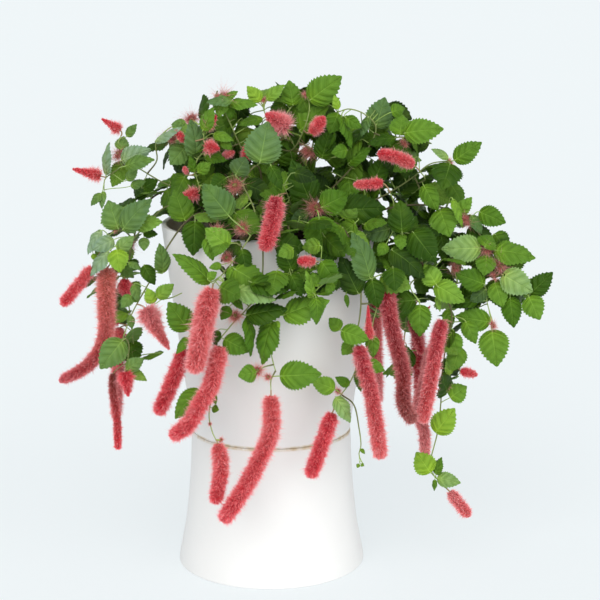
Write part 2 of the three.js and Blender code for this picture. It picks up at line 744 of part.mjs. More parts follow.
// Shifts and sizes that a leaf tries, in order, until it lies clear.
const leafTries = leafScales.flatMap((scale) => leafShifts.map((shift) => [shift, scale]));

// Everything placed so far, to keep each new leaf clear of it.
const placed = [];

function addPlaced(node, solid) {
  placed.push({ node, solid, box: solid.boundingBox() });
}

function boxesMeet(a, b) {
  return [0, 1, 2].every((axis) => a.min[axis] <= b.max[axis] && b.min[axis] <= a.max[axis]);
}

function meets(solid, others) {
  const box = solid.boundingBox();
  return others.some((other) => boxesMeet(box, other.box) && !solid.intersect(other.solid).isEmpty());
}

// Pot, stand and soil

function outlineRadius(height) {
  return between([potBaseRadius, potRimRadius], (height - standHeight) / potHeight);
}

function makePot() {
  const floorTop = standHeight + floorThickness;
  return turned([
    [drainRadius, standHeight],
    [potBaseRadius, standHeight],
    [potRimRadius, rimHeight - lipRound],
    [potRimRadius - lipRound, rimHeight],
    [potRimRadius - wall + lipRound, rimHeight],
    [potRimRadius - wall, rimHeight - lipRound],
    [outlineRadius(floorTop) - wall, floorTop],
    [drainRadius, floorTop],
    [drainRadius, standHeight],
  ]);
}

function makeStand() {
  const outer = standFlare.map(([rise, spread]) => [
    between([standTopRadius, standFootRadius], spread),
    standHeight * rise,
  ]);
  const inner = outer.slice(1).map(([radius, height]) => [radius - wall, height]);
  inner[0] = [inner[0][0], floorThickness];
  return turned([[0, 0], ...outer, ...inner.reverse(), [0, floorThickness]]);
}

function makeSoil(holes) {
  const bottom = standHeight + floorThickness + soilGap;
  const edge = soilHeight - soilDome;
  const inside = (height) => outlineRadius(height) - wall - soilGap;
  let soil = turned([
    [0, bottom],
    [inside(bottom), bottom],
    [inside(edge), edge],
    [inside(edge) * soilFlat, soilHeight],
    [0, soilHeight],
  ]);
  for (const { x, near } of holes) {
    const hole = new THREE.CylinderGeometry(
      stemRadius + holeClearance,
      stemRadius + holeClearance,
      holeDepth * 2,
      holeSides,
    );
    hole.rotateX(Math.PI / 2);
    hole.translate(x, -near, soilHeight);
    soil = soil.subtract(solidOf(hole));
  }
  return soil;
}

// Shoots

const greens = [0x3f7a25, 0x4c8a2b, 0x2f6420, 0x5a9a34];
const shoots = new Map();
const catkins = [];

function stemFoot([x, near]) {
  const foot = new THREE.Vector3(x, -near, soilHeight - holeDepth + touchGap);
  const collar = new THREE.Vector3(x, -near, soilHeight + collarHeight);
  return [foot, collar];
}

function startShoot(name, root, lines) {
  const main = rod([...stemFoot(root), ...lines[0]], stemRadius);
  const parts = [main, ...lines.slice(1).map((line) => rod(line, branchRadius, rootRadius))];
  const shoot = { name, root, parts };
  shoots.set(name, shoot);
  parts.forEach((part) => addPlaced(name, part));
  return shoot;
}

function addPart(shoot, solid) {
  shoot.parts.push(solid);
  addPlaced(shoot.name, solid);
}

function addCatkin(shoot, from, route, radius, taper) {
  const start = route[0];
  const heading = splineThrough(route, 8)[1].clone().sub(start).normalize();
  const knee = start.clone().addScaledVector(heading, -stalkKnee);
  const end = start.clone().addScaledVector(heading, -touchGap);
  addPart(shoot, rod([from, knee, end], stalkRadius, rootRadius));
  const solid = catkinSolid(route, radius, taper);
  const name = `catkin_${String(catkins.length + 1).padStart(2, "0")}`;
  catkins.push({ name, solid });
  addPlaced(name, solid);
}

// A leaf takes the first try that lies clear of every other node, and of its own shoot if it can.
function addLeaf(shoot, tries) {
  const own = placed.filter(({ node }) => node === shoot.name);
  const others = placed.filter(({ node }) => node !== shoot.name);
  for (const ownToo of [true, false]) {
    for (const makeLeaf of tries) {
      const leaf = makeLeaf();
      const crosses = ownToo && meets(leafSolid(leaf, spare, false), own);
      if (!crosses && !meets(leafSolid(leaf, spare), others)) {
        addPart(shoot, leafSolid(leaf));
        return;
      }
    }
  }
}

addPlaced("pot", makePot());
addPlaced("stand", makeStand());
addPlaced("soil", makeSoil([]));

const traced = frontShoots.map((shoot) => {
  const traces = traceStems(shoot);
  const built = startShoot(shoot.name, shoot.root, traces.map((trace) => trace.map(place)));
  for (const [x, y, radius, nearer = 0] of shoot.heads) {
    const spot = nearestOn(traces, [x, y]);
    const centre = place([x, y, spot[2] + nearer]);
    const from = place(spot);
    const size = (radius * centre.distanceTo(view.eye)) / view.focal;
    if (centre.distanceTo(from) > size / 2) built.parts.push(rod([from, centre], stalkRadius, rootRadius));
    addPart(built, headSolid(centre, size * headShare));
  }
  return { shoot, traces, built };
});

for (const [name, pixels, taper, route] of frontCatkins) {
  const { traces, built } = traced.find(({ shoot }) => shoot.name === name);
  const points = route.map(place);
  const from = place(nearestOn(traces, route[0]));
  const radius = (pixels * catkinStretch * points[0].distanceTo(view.eye)) / view.focal;
  addCatkin(built, from, points, radius, taper);
}

// A back shoot: one stem over the rim that hangs down, and one that rises into the crown.
function backLines(bearing) {
  const drop = draw(backShoots.hang);
  const tall = draw(backShoots.crownHeight);
  const swing = draw(backShoots.swing);
  const at = (radius, height, turn) => new THREE.Vector3(
    radius * Math.cos(bearing + turn),
    radius * Math.sin(bearing + turn),
    height,
  );
  const over = backShoots.over.map(([radius, rise, down, turn]) => (
    at(radius, rimHeight + rise - drop * down, swing * turn)
  ));
  const crown = backShoots.crown.map(([radius, rise, turn]) => (
    at(radius, soilHeight + tall * rise, swing * turn)
  ));
  return { lines: [over, [over[0].clone(), ...crown]], outward: at(1, 0, 0) };
}

// Leaves go round the stem by the golden angle, lean outwards and hang a little.
function backLeaf(spot, stemWay, outward, index, shift, scale) {
  const angle = index * golden * 2 * Math.PI;
  const across = stemWay.clone().cross(outward).normalize();
  const away = outward.clone().multiplyScalar(0.75 + 0.25 * Math.sin(angle));
  away.addScaledVector(across, 0.95 * Math.cos(angle));
  away.z += 0.25 + 0.2 * Math.sin(angle * 2);
  away.normalize();
  const base = spot.clone().addScaledVector(away, between(backShoots.petiole, (index * golden) % 1));
  base.addScaledVector(outward, shift);
  const along = away.clone();
  along.z -= backShoots.leafDrop;
  along.normalize();
  const length = between(backShoots.leafLength, (index * golden * 3) % 1) * scale;
  const tip = base.clone().addScaledVector(along, length);
  const normal = new THREE.Vector3(0, 0, 1).addScaledVector(outward, 0.8);
  normal.addScaledVector(along, -normal.dot(along)).normalize();
  return { base, tip, normal, width: length * leafAspect, root: spot, ...bend(index) };
}

const backBuilt = backShoots.bearings.map((degrees, i) => {
  const bearing = THREE.MathUtils.degToRad(degrees);
  const { lines, outward } = backLines(bearing);
  const root = [backShoots.rootRadius * Math.cos(bearing), -backShoots.rootRadius * Math.sin(bearing)];
  const built = startShoot(`shoot_back_${i + 1}`, root, lines);
  const low = lines[0][lines[0].length - 2];
  const long = draw(backShoots.catkinLength);
  const route = [0, 0.5, 1].map((share) => {
    const point = low.clone().addScaledVector(outward, between(backShoots.catkinOffset, share));
    point.z -= stalkKnee + long * share;
    return point;
  });
  addCatkin(built, low, route, backShoots.catkinRadius, backShoots.catkinTaper);
  return { built, lines, outward };
});

let leafIndex = 0;
for (const { shoot, traces, built } of traced) {
  const taken = [];
  for (const row of shoot.leaves) {
    const [x, y, tipX, tipY] = row;
    const long = Math.hypot(tipX - x, tipY - y);
    const spot = nearestOn(traces, [x, y], [(tipX - x) / long, (tipY - y) / long], taken);
    taken.push(spot);
    leafIndex += 1;
    const index = leafIndex;
    addLeaf(built, leafTries.map(([shift, scale]) => () => tracedLeaf(spot, row, index, shift, scale)));
  }
}

for (const { built, lines, outward } of backBuilt) {
  for (const line of lines) {
    const total = lengthOf(line);
    for (let at = backShoots.firstLeaf; at < total; at += backShoots.leafSpacing) {
      leafIndex += 1;
      const index = leafIndex;
      const spot = pointAt(line, at);
      const stemWay = pointAt(line, at + 2).sub(pointAt(line, at - 2)).normalize();
      addLeaf(built, leafTries.map(([shift, scale]) => () => (
        backLeaf(spot, stemWay, outward, index, shift, scale)
      )));
    }
  }
}

// The whole plant

const plant = new THREE.Group();
const white = { color: 0xe9e7e3, roughness: 0.55, metalness: 0 };
plant.add(meshOf("pot", makePot(), white));
plant.add(meshOf("stand", makeStand(), white));
const holes = [...shoots.values()].map(({ root: [x, near] }) => ({ x, near }));
plant.add(meshOf("soil", makeSoil(holes), { color: 0x3a2a1e, roughness: 0.95, metalness: 0 }));

let shade = 0;
for (const { name, parts } of shoots.values()) {
  const body = wasm.Manifold.union(parts).simplify(0.004);
  const largest = body.decompose().sort((a, b) => b.volume() - a.volume())[0];
  plant.add(meshOf(name, largest, { color: greens[shade % greens.length], roughness: 0.6, metalness: 0 }));
  shade += 1;
}
for (const { name, solid } of catkins) {
  plant.add(meshOf(name, solid, { color: 0xd23a4c, roughness: 0.85, metalness: 0 }));
}

export default plant;
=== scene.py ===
# Potted dwarf chenille plant: fine leaves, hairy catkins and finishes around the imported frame.
import math

import bpy
import numpy as np
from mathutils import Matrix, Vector


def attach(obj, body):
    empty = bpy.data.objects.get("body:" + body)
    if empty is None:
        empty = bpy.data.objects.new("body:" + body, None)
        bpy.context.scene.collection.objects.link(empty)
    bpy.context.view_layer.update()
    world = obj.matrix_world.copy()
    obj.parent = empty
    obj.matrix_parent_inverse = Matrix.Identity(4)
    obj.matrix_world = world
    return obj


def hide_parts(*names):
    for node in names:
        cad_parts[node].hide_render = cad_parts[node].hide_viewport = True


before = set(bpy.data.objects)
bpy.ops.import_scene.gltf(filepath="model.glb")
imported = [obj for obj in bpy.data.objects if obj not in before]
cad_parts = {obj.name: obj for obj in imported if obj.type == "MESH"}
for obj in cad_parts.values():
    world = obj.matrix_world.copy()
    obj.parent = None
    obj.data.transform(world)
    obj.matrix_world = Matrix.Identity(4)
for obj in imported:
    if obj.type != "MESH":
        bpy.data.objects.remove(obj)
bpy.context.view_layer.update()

metre = 0.001                          # shapes below are worked out in millimetres
golden = (math.sqrt(5) - 1) / 2
circle = 2 * math.pi
dice = np.random.default_rng(514)
print("frame loaded")


# The camera comes first. It stands where the photograph was taken from.
photoView = {
    "focal": 1728,                     # pixels
    "middle": 300,                     # of a picture 600 by 600
    "pitch": math.radians(12.1),
    "eye": (22.2, -1283, 480),
    "sensor": 36,
    "farthest": 100,                   # metres
}
eye = np.array(photoView["eye"])


def makeCamera():
    data = bpy.data.cameras.new("camera")
    data.sensor_width = photoView["sensor"]
    data.lens = photoView["focal"] / (2 * photoView["middle"]) * photoView["sensor"]
    data.clip_end = photoView["farthest"]
    camera = bpy.data.objects.new("camera", data)
    camera.location = eye * metre
    camera.rotation_euler = (math.pi / 2 - photoView["pitch"], 0, 0)
    bpy.context.scene.collection.objects.link(camera)
    bpy.context.scene.camera = camera


makeCamera()


# Traced places are (x, y, near): pixels across and down, and how far in front of the pot's axis.
def placeOf(spot):
    x, y, near = spot
    across = (x - photoView["middle"]) / photoView["focal"]
    down = (y - photoView["middle"]) / photoView["focal"]
    cos, sin = math.cos(photoView["pitch"]), math.sin(photoView["pitch"])
    reach = (-near - eye[1]) / (cos - down * sin)
    return np.array([eye[0] + reach * across, -near, eye[2] - reach * (sin + down * cos)])


def pixelOf(place):
    x, y, z = place - eye
    cos, sin = math.cos(photoView["pitch"]), math.sin(photoView["pitch"])
    scale = photoView["focal"] / (y * cos - z * sin)
    return photoView["middle"] + x * scale, photoView["middle"] - (y * sin + z * cos) * scale


def pixelSize(place):
    return np.linalg.norm(place - eye) / photoView["focal"]


# Front shoots. root is (x, near) in the soil. The first stem rises from the root, and each further
# one leaves the nearest stem. A leaf is (base x, base y, tip x, tip y, width, nearer, tone), a head
# is (x, y, radius, nearer). The solids don't have the small leaves and heads.
frontShoots = [
    {
        "name": "shoot_left_top",
        "tone": "soft",
        "root": (-36, 4),
        "stems": [
            [(206, 212, 8), (184, 193, 12), (160, 181, 16), (140, 169, 20), (126, 161, 22)],
            [(157, 160, 14), (156, 143, 14), (168, 129, 12), (180, 124, 10)],
            [(118, 146, 23), (121, 136, 23)],
            [(114, 172, 24), (105, 179, 24), (104, 190, 25)],
        ],
        "leaves": [
            (106, 174, 110, 142, 9, 0, "silver"), (122, 160, 151, 149, 20, 0, "silver"),
            (126, 166, 155, 160, 14), (124, 163, 112, 187, 18, 0, "light"),
            (156, 141, 182, 127, 8, 0, "silver"), (185, 147, 170, 165, 22),
        ],
        "smallLeaves": [
            (127, 136, 137, 124, 9), (131, 186, 146, 181, 9), (101, 194, 91, 206, 8),
            (185, 122, 171, 125, 8), (121, 149, 124, 136, 14), (127, 180, 138, 168, 10),
            (143, 188, 158, 180, 14, 0, "dark"), (104, 192, 102, 209, 7),
        ],
        "heads": [(119, 154, 8), (173, 139, 5)],
    },
    {
        "name": "shoot_left_middle",
        "tone": "soft",
        "root": (-48, 18),
        "stems": [
            [(190, 212, 20), (168, 206, 25), (150, 221, 33), (136, 236, 38), (124, 250, 42)],
            [(124, 231, 38), (112, 233, 38), (105, 241, 38)],
        ],
        "leaves": [
            (118, 228, 108, 200, 26), (123, 229, 152, 199, 24, 0, "grey"),
            (134, 224, 163, 222, 17, 0, "light"), (139, 232, 158, 234, 9, 0, "dark"),
            (101, 231, 88, 255, 10, 0, "silver"), (113, 240, 92, 250, 16, 0, "silver"),
            (118, 250, 134, 236, 14, 0, "pale"), (117, 250, 120, 273, 20, 4, "lime"),
            (108, 252, 90, 276, 13, 4, "silver"),
        ],
        "smallLeaves": [
            (144, 238, 144, 251, 11), (121, 266, 134, 278, 12), (96, 250, 104, 257, 7),
            (93, 254, 96, 261, 6, 0, "lime"), (96, 277, 78, 290, 5),
        ],
        "smallHeads": [(116, 229, 4)],
    },
    {
        "name": "shoot_left_hanging",
        "tone": "soft",
        "root": (-38, 34),
        "stems": [
            [(203, 214, 46), (186, 222, 56), (172, 240, 65), (160, 260, 67), (150, 281, 67),
             (138, 302, 65), (130, 318, 64), (123, 338, 64)],
            [(129, 345, 64), (127, 366, 66)],
            [(158, 298, 68), (170, 298, 70), (182, 293, 72)],
        ],
        "leaves": [
            (163, 272, 159, 243, 16), (144, 266, 155, 285, 14, 0, "dark"),
            (157, 297, 174, 284, 14, 0, "light"), (122, 341, 100, 369, 26), (127, 369, 144, 358, 14),
            (128, 371, 147, 381, 11, 0, "light"), (195, 222, 193, 256, 24, 0, "dark"),
        ],
        "smallLeaves": [
            (129, 263, 142, 270, 7), (131, 296, 121, 308, 12), (130, 316, 132, 329, 8),
            (134, 285, 138, 302, 10), (153, 303, 147, 288, 13, 0, "lime"),
        ],
    },
    {
        "name": "shoot_centre_left",
        "root": (-8, 10),
        "stems": [
            [(258, 212, 20), (262, 186, 30), (258, 166, 42), (249, 172, 52), (243, 184, 60),
             (249, 197, 70), (255, 213, 82), (253, 230, 93), (246, 243, 98), (237, 256, 100),
             (228, 268, 102)],
            [(220, 277, 104), (213, 284, 106)],
            [(236, 243, 99), (226, 245, 100)],
        ],
        "leaves": [
            (229, 216, 203, 184, 30, 0, "grey"), (228, 246, 205, 228, 22, 0, "light"),
            (241, 213, 227, 238, 14), (242, 250, 247, 273, 16, 0, "dark"), (230, 268, 243, 289, 16),
            (236, 289, 276, 300, 20, 0, "pale"), (206, 239, 213, 261, 13), (210, 281, 172, 254, 18, -6),
            (226, 178, 211, 188, 18, 0, "dark"), (236, 174, 246, 157, 20, 0, "dusk"),
            (260, 162, 268, 121, 36, 0, "grey"),
        ],
        "smallLeaves": [(221, 265, 209, 268, 8), (208, 278, 217, 272, 9), (225, 284, 233, 288, 6)],
        "heads": [(243, 228, 7), (217, 231, 6), (227, 258, 6), (232, 291, 7), (235, 186, 8)],
    },
    {
        "name": "shoot_low_left",
        "root": (-4, 40),
        "stems": [
            [(262, 222, 70), (263, 232, 87), (263, 250, 94), (262, 278, 96), (255, 298, 97),
             (244, 312, 98), (234, 322, 99), (224, 334, 100), (216, 343, 101)],
            [(268, 300, 97), (272, 322, 98), (270, 345, 98), (273, 362, 100), (276, 372, 101)],
            [(271, 380, 102), (271, 390, 103)],
            [(264, 367, 101), (258, 371, 102)],
            [(213, 370, 92), (211, 398, 90), (209, 416, 94), (212, 431, 98), (216, 440, 102)],
        ],
        "leaves": [
            (247, 315, 288, 309, 22, 0, "dark"), (247, 318, 250, 357, 11), (271, 322, 262, 365, 22),
            (224, 339, 249, 352, 22), (188, 329, 168, 302, 26, -8), (187, 338, 176, 354, 9, -10),
            (281, 376, 322, 374, 28), (256, 372, 238, 376, 18), (199, 391, 175, 419, 20, -4),
            (251, 282, 287, 292, 20, 0, "dark"), (284, 315, 330, 300, 26),
        ],
        "smallLeaves": [
            (229, 307, 221, 320, 12), (218, 331, 214, 346, 9, 0, "dark"), (232, 297, 243, 310, 9),
            (213, 393, 216, 405, 6), (212, 408, 219, 410, 8), (275, 322, 280, 328, 7, 0, "lime"),
        ],
        "heads": [(235, 316, 7), (257, 371, 7)],
        "smallHeads": [(268, 377, 4), (210, 424, 2), (221, 440, 3)],
    },
    {
        "name": "shoot_rosette",
        "root": (20, 16),
        "stems": [
            [(300, 222, 36), (312, 214, 50), (316, 209, 58)],
            [(330, 213, 42)],
            [(292, 206, 46), (286, 191, 62), (283, 185, 74)],
        ],
        "leaves": [
            (322, 207, 348, 194, 26), (319, 218, 325, 260, 33, 6), (340, 210, 386, 208, 30, 0, "dark"),
            (311, 205, 291, 160, 30, 0, "dark"), (308, 213, 290, 222, 14, 0, "dusk"),
            (337, 217, 339, 248, 11, 0, "dark"), (283, 213, 293, 238, 16, 0, "deep"),
            (271, 166, 282, 190, 13, 0, "dark"),
        ],
        "heads": [(316, 208, 9)],
    },
    {
        "name": "shoot_centre_low",
        "root": (14, 44),
        "stems": [
            [(288, 226, 74), (290, 236, 89), (290, 255, 95), (290, 272, 97), (299, 285, 98),
             (314, 297, 99)],
            [(308, 266, 98), (321, 261, 99)],
        ],
        "leaves": [
            (292, 270, 280, 242, 22, 0, "dark"), (288, 274, 280, 295, 16),
            (291, 275, 302, 297, 16, 0, "dark"), (322, 262, 337, 283, 20),
            (313, 297, 306, 270, 10, 0, "light"), (316, 298, 316, 325, 14),
        ],
        "smallLeaves": [(318, 286, 312, 272, 12), (333, 283, 326, 293, 9)],
    },
    {
        "name": "shoot_right_low",
        "root": (42, 32),
        "stems": [
            [(330, 222, 52), (346, 232, 68), (354, 255, 73), (360, 280, 74), (361, 300, 74),
             (360, 315, 74), (357, 335, 74), (357, 352, 73), (356, 368, 74), (349, 384, 78),
             (340, 396, 80), (336, 403, 80)],
            [(370, 279, 72), (384, 273, 68), (393, 268, 64)],
            [(376, 305, 71), (373, 322, 70), (371, 338, 70)],
            [(354, 405, 73), (359, 428, 75), (361, 445, 76), (359, 455, 76), (364, 466, 77)],
        ],
        "leaves": [
            (370, 278, 352, 232, 24, 0, "grey"), (358, 293, 340, 256, 26, 0, "deep"),
            (372, 280, 378, 308, 20, 0, "dark"), (393, 268, 395, 291, 22, 0, "dark"),
            (342, 331, 369, 340, 20, 8), (372, 336, 373, 358, 14), (366, 363, 385, 371, 14),
            (336, 398, 350, 423, 15, 0, "pale"), (334, 389, 311, 380, 18, 0, "light"),
            (359, 370, 361, 392, 10),
        ],
        "smallLeaves": [
            (340, 329, 329, 318, 14), (352, 343, 342, 355, 14), (349, 385, 335, 377, 10),
            (346, 295, 348, 308, 5), (361, 449, 365, 454, 4, 0, "light"),
            (359, 464, 357, 468, 4, 0, "light"), (361, 464, 364, 466, 4, 0, "light"),
        ],
        "smallHeads": [(338, 391, 4)],
    },
    {
        "name": "shoot_right_centre",
        "root": (54, 10),
        "stems": [
            [(345, 218, 30), (368, 223, 40), (388, 228, 47), (402, 232, 50), (414, 234, 51)],
            [(394, 206, 50), (389, 190, 54)],
            [(399, 248, 52), (392, 268, 56), (388, 282, 60)],
        ],
        "leaves": [
            (402, 232, 400, 200, 26, 0, "dark"), (413, 232, 436, 262, 30, 0, "dark"),
            (389, 229, 360, 236, 20, 0, "dusk"), (392, 250, 425, 278, 24, 0, "deep"),
        ],
        "smallLeaves": [(386, 244, 378, 256, 12), (401, 234, 401, 250, 14)],
    },
    {
        "name": "shoot_left_crown",
        "root": (-22, -12),
        "stems": [
            [(234, 205, -2), (240, 180, 6), (243, 156, 12), (234, 132, 17), (225, 112, 20),
             (223, 103, 20)],
            [(222, 150, 17), (206, 152, 22), (197, 160, 25), (196, 174, 28), (199, 186, 29)],
            [(204, 141, 24), (204, 132, 26)],
        ],
        "leaves": [
            (203, 130, 213, 107, 14), (231, 101, 206, 103, 10, 0, "grey"), (230, 103, 258, 105, 11),
            (197, 157, 190, 119, 22, 0, "grey"), (214, 134, 234, 141, 10), (205, 155, 228, 160, 12),
            (236, 178, 214, 160, 24, -10, "dark"), (240, 196, 262, 184, 22, -12, "deep"),
        ],
        "smallLeaves": [
            (225, 99, 238, 91, 8), (222, 140, 232, 150, 10), (198, 172, 211, 163, 12),
            (222, 102, 219, 117, 14), (229, 103, 231, 120, 10), (194, 172, 190, 156, 9),
        ],
        "heads": [(222, 97, 9)],
    },
    {
        "name": "shoot_middle_crown",
        "root": (4, -16),
        "stems": [
            [(268, 205, -8), (272, 170, -4), (280, 135, 2), (286, 115, 4), (292, 106, 4)],
            [(268, 118, 8), (262, 104, 10)],
            [(292, 150, 8), (303, 132, 12), (309, 112, 12), (309, 101, 11)],
            [(312, 150, 16), (322, 158, 20), (336, 157, 22)],
        ],
        "leaves": [
            (260, 101, 247, 86, 14, 0, "lime"), (267, 99, 285, 85, 12, 0, "light"),
            (293, 105, 289, 80, 20), (262, 119, 238, 126, 10), (310, 100, 342, 76, 28),
            (300, 130, 326, 107, 26), (322, 158, 330, 130, 22, 0, "dark"),
            (272, 175, 254, 148, 24, -8, "deep"), (276, 160, 300, 145, 22, -8),
        ],
        "smallLeaves": [(347, 150, 331, 153, 14)],
        "heads": [(309, 152, 8), (306, 95, 3.5)],
        "smallHeads": [(264, 100, 4)],
    },
    {
        "name": "shoot_right_crown",
        "root": (32, -8),
        "stems": [
            [(318, 205, 4), (345, 175, 10), (368, 148, 14), (376, 128, 16), (366, 115, 18),
             (350, 109, 18), (338, 112, 18)],
            [(388, 138, 19), (402, 137, 23), (420, 138, 22)],
        ],
        "leaves": [
            (338, 114, 329, 134, 18), (342, 117, 352, 149, 9), (346, 118, 362, 128, 12),
            (368, 118, 361, 137, 9, 0, "grey"), (376, 127, 385, 97, 26, 0, "grey"),
            (395, 138, 367, 145, 11, 0, "dark"), (400, 134, 402, 114, 22), (405, 133, 444, 129, 24),
            (390, 145, 412, 156, 16, 0, "dark"), (375, 180, 384, 157, 20, 0, "dark"),
            (349, 163, 372, 148, 14), (325, 196, 306, 172, 24, -8, "deep"),
            (348, 176, 352, 202, 22, -10), (354, 168, 332, 172, 20, -8, "dark"),
        ],
        "smallLeaves": [(338, 109, 334, 95, 8, 0, "lime"), (392, 112, 405, 108, 14)],
        "smallHeads": [(404, 143, 5)],
    },
    {
        "name": "shoot_right_top",
        "root": (46, -6),
        "stems": [
            [(350, 212, 2), (385, 195, 8), (412, 178, 14), (430, 164, 18), (450, 161, 20)],
            [(424, 196, 20), (438, 209, 26), (441, 230, 28)],
            [(425, 179, 30), (418, 169, 38)],
        ],
        "leaves": [
            (455, 160, 482, 142, 20), (450, 164, 442, 190, 30, 4, "dark"),
            (448, 158, 431, 149, 8, 0, "pale"), (424, 186, 438, 211, 18), (440, 210, 450, 237, 28),
            (440, 232, 445, 262, 16, 0, "dark"),
        ],
        "smallHeads": [(450, 162, 4)],
    },
    {
        "name": "shoot_right",
        "root": (62, 0),
        "stems": [
            [(372, 214, 6), (410, 205, 12), (444, 208, 20), (466, 220, 27), (484, 240, 32),
             (500, 262, 36), (512, 285, 36), (527, 295, 36)],
        ],
        "leaves": [
            (458, 214, 472, 197, 14), (453, 200, 462, 228, 8, 0, "light"),
            (472, 216, 482, 234, 11, 0, "grey"), (480, 212, 506, 223, 20),
            (480, 248, 441, 249, 26, 5, "pale"), (485, 246, 492, 235, 20), (487, 256, 484, 276, 20, 5),
            (495, 250, 536, 258, 22), (503, 275, 533, 292, 26, 4, "pale"),
            (530, 294, 553, 272, 20, 0, "dark"), (529, 297, 540, 320, 22), (495, 283, 503, 307, 20),
            (510, 298, 514, 328, 20),
        ],
        "heads": [(467, 221, 7, 4), (486, 249, 7, 5), (500, 266, 8, 4)],
        "smallHeads": [(494, 276, 5, 6)],
    },
    {
        "name": "shoot_right_hanging",
        "root": (60, 20),
        "stems": [
            [(366, 222, 30), (392, 240, 35), (414, 256, 42), (432, 276, 44), (446, 296, 44),
             (452, 318, 42), (446, 345, 40), (442, 375, 40), (441, 400, 40), (438, 430, 41),
             (431, 458, 42), (430, 470, 42), (438, 480, 42), (447, 489, 42)],
            [(455, 284, 42), (470, 282, 40), (485, 287, 38), (487, 302, 38), (492, 320, 38)],
            [(456, 350, 42), (459, 366, 42)],
            [(410, 285, 55), (420, 302, 58)],
        ],
        "leaves": [
            (484, 284, 455, 273, 22), (436, 285, 465, 302, 22, 5, "light"),
            (436, 284, 424, 264, 20, 5, "light"), (485, 290, 470, 303, 14, 0, "dusk"),
            (489, 322, 455, 316, 22), (466, 322, 476, 344, 16), (447, 310, 450, 331, 12),
            (452, 334, 458, 357, 17), (492, 331, 497, 367, 29), (450, 374, 449, 352, 10, 0, "light"),
            (451, 397, 467, 386, 20), (436, 432, 455, 408, 24, 0, "lime"),
            (430, 472, 416, 452, 22, 0, "lime"), (438, 478, 461, 483, 15, 0, "pale"),
            (419, 303, 380, 305, 24, 0, "dark"), (420, 306, 420, 337, 22),
        ],
        "smallLeaves": [
            (436, 474, 442, 457, 10), (435, 480, 434, 491, 5), (476, 302, 452, 308, 10, 0, "dark"),
            (437, 296, 440, 312, 6, 0, "light"),
        ],
        "heads": [(455, 268, 6)],
        "smallHeads": [(493, 325, 5, 4), (446, 385, 5)],
    },
]

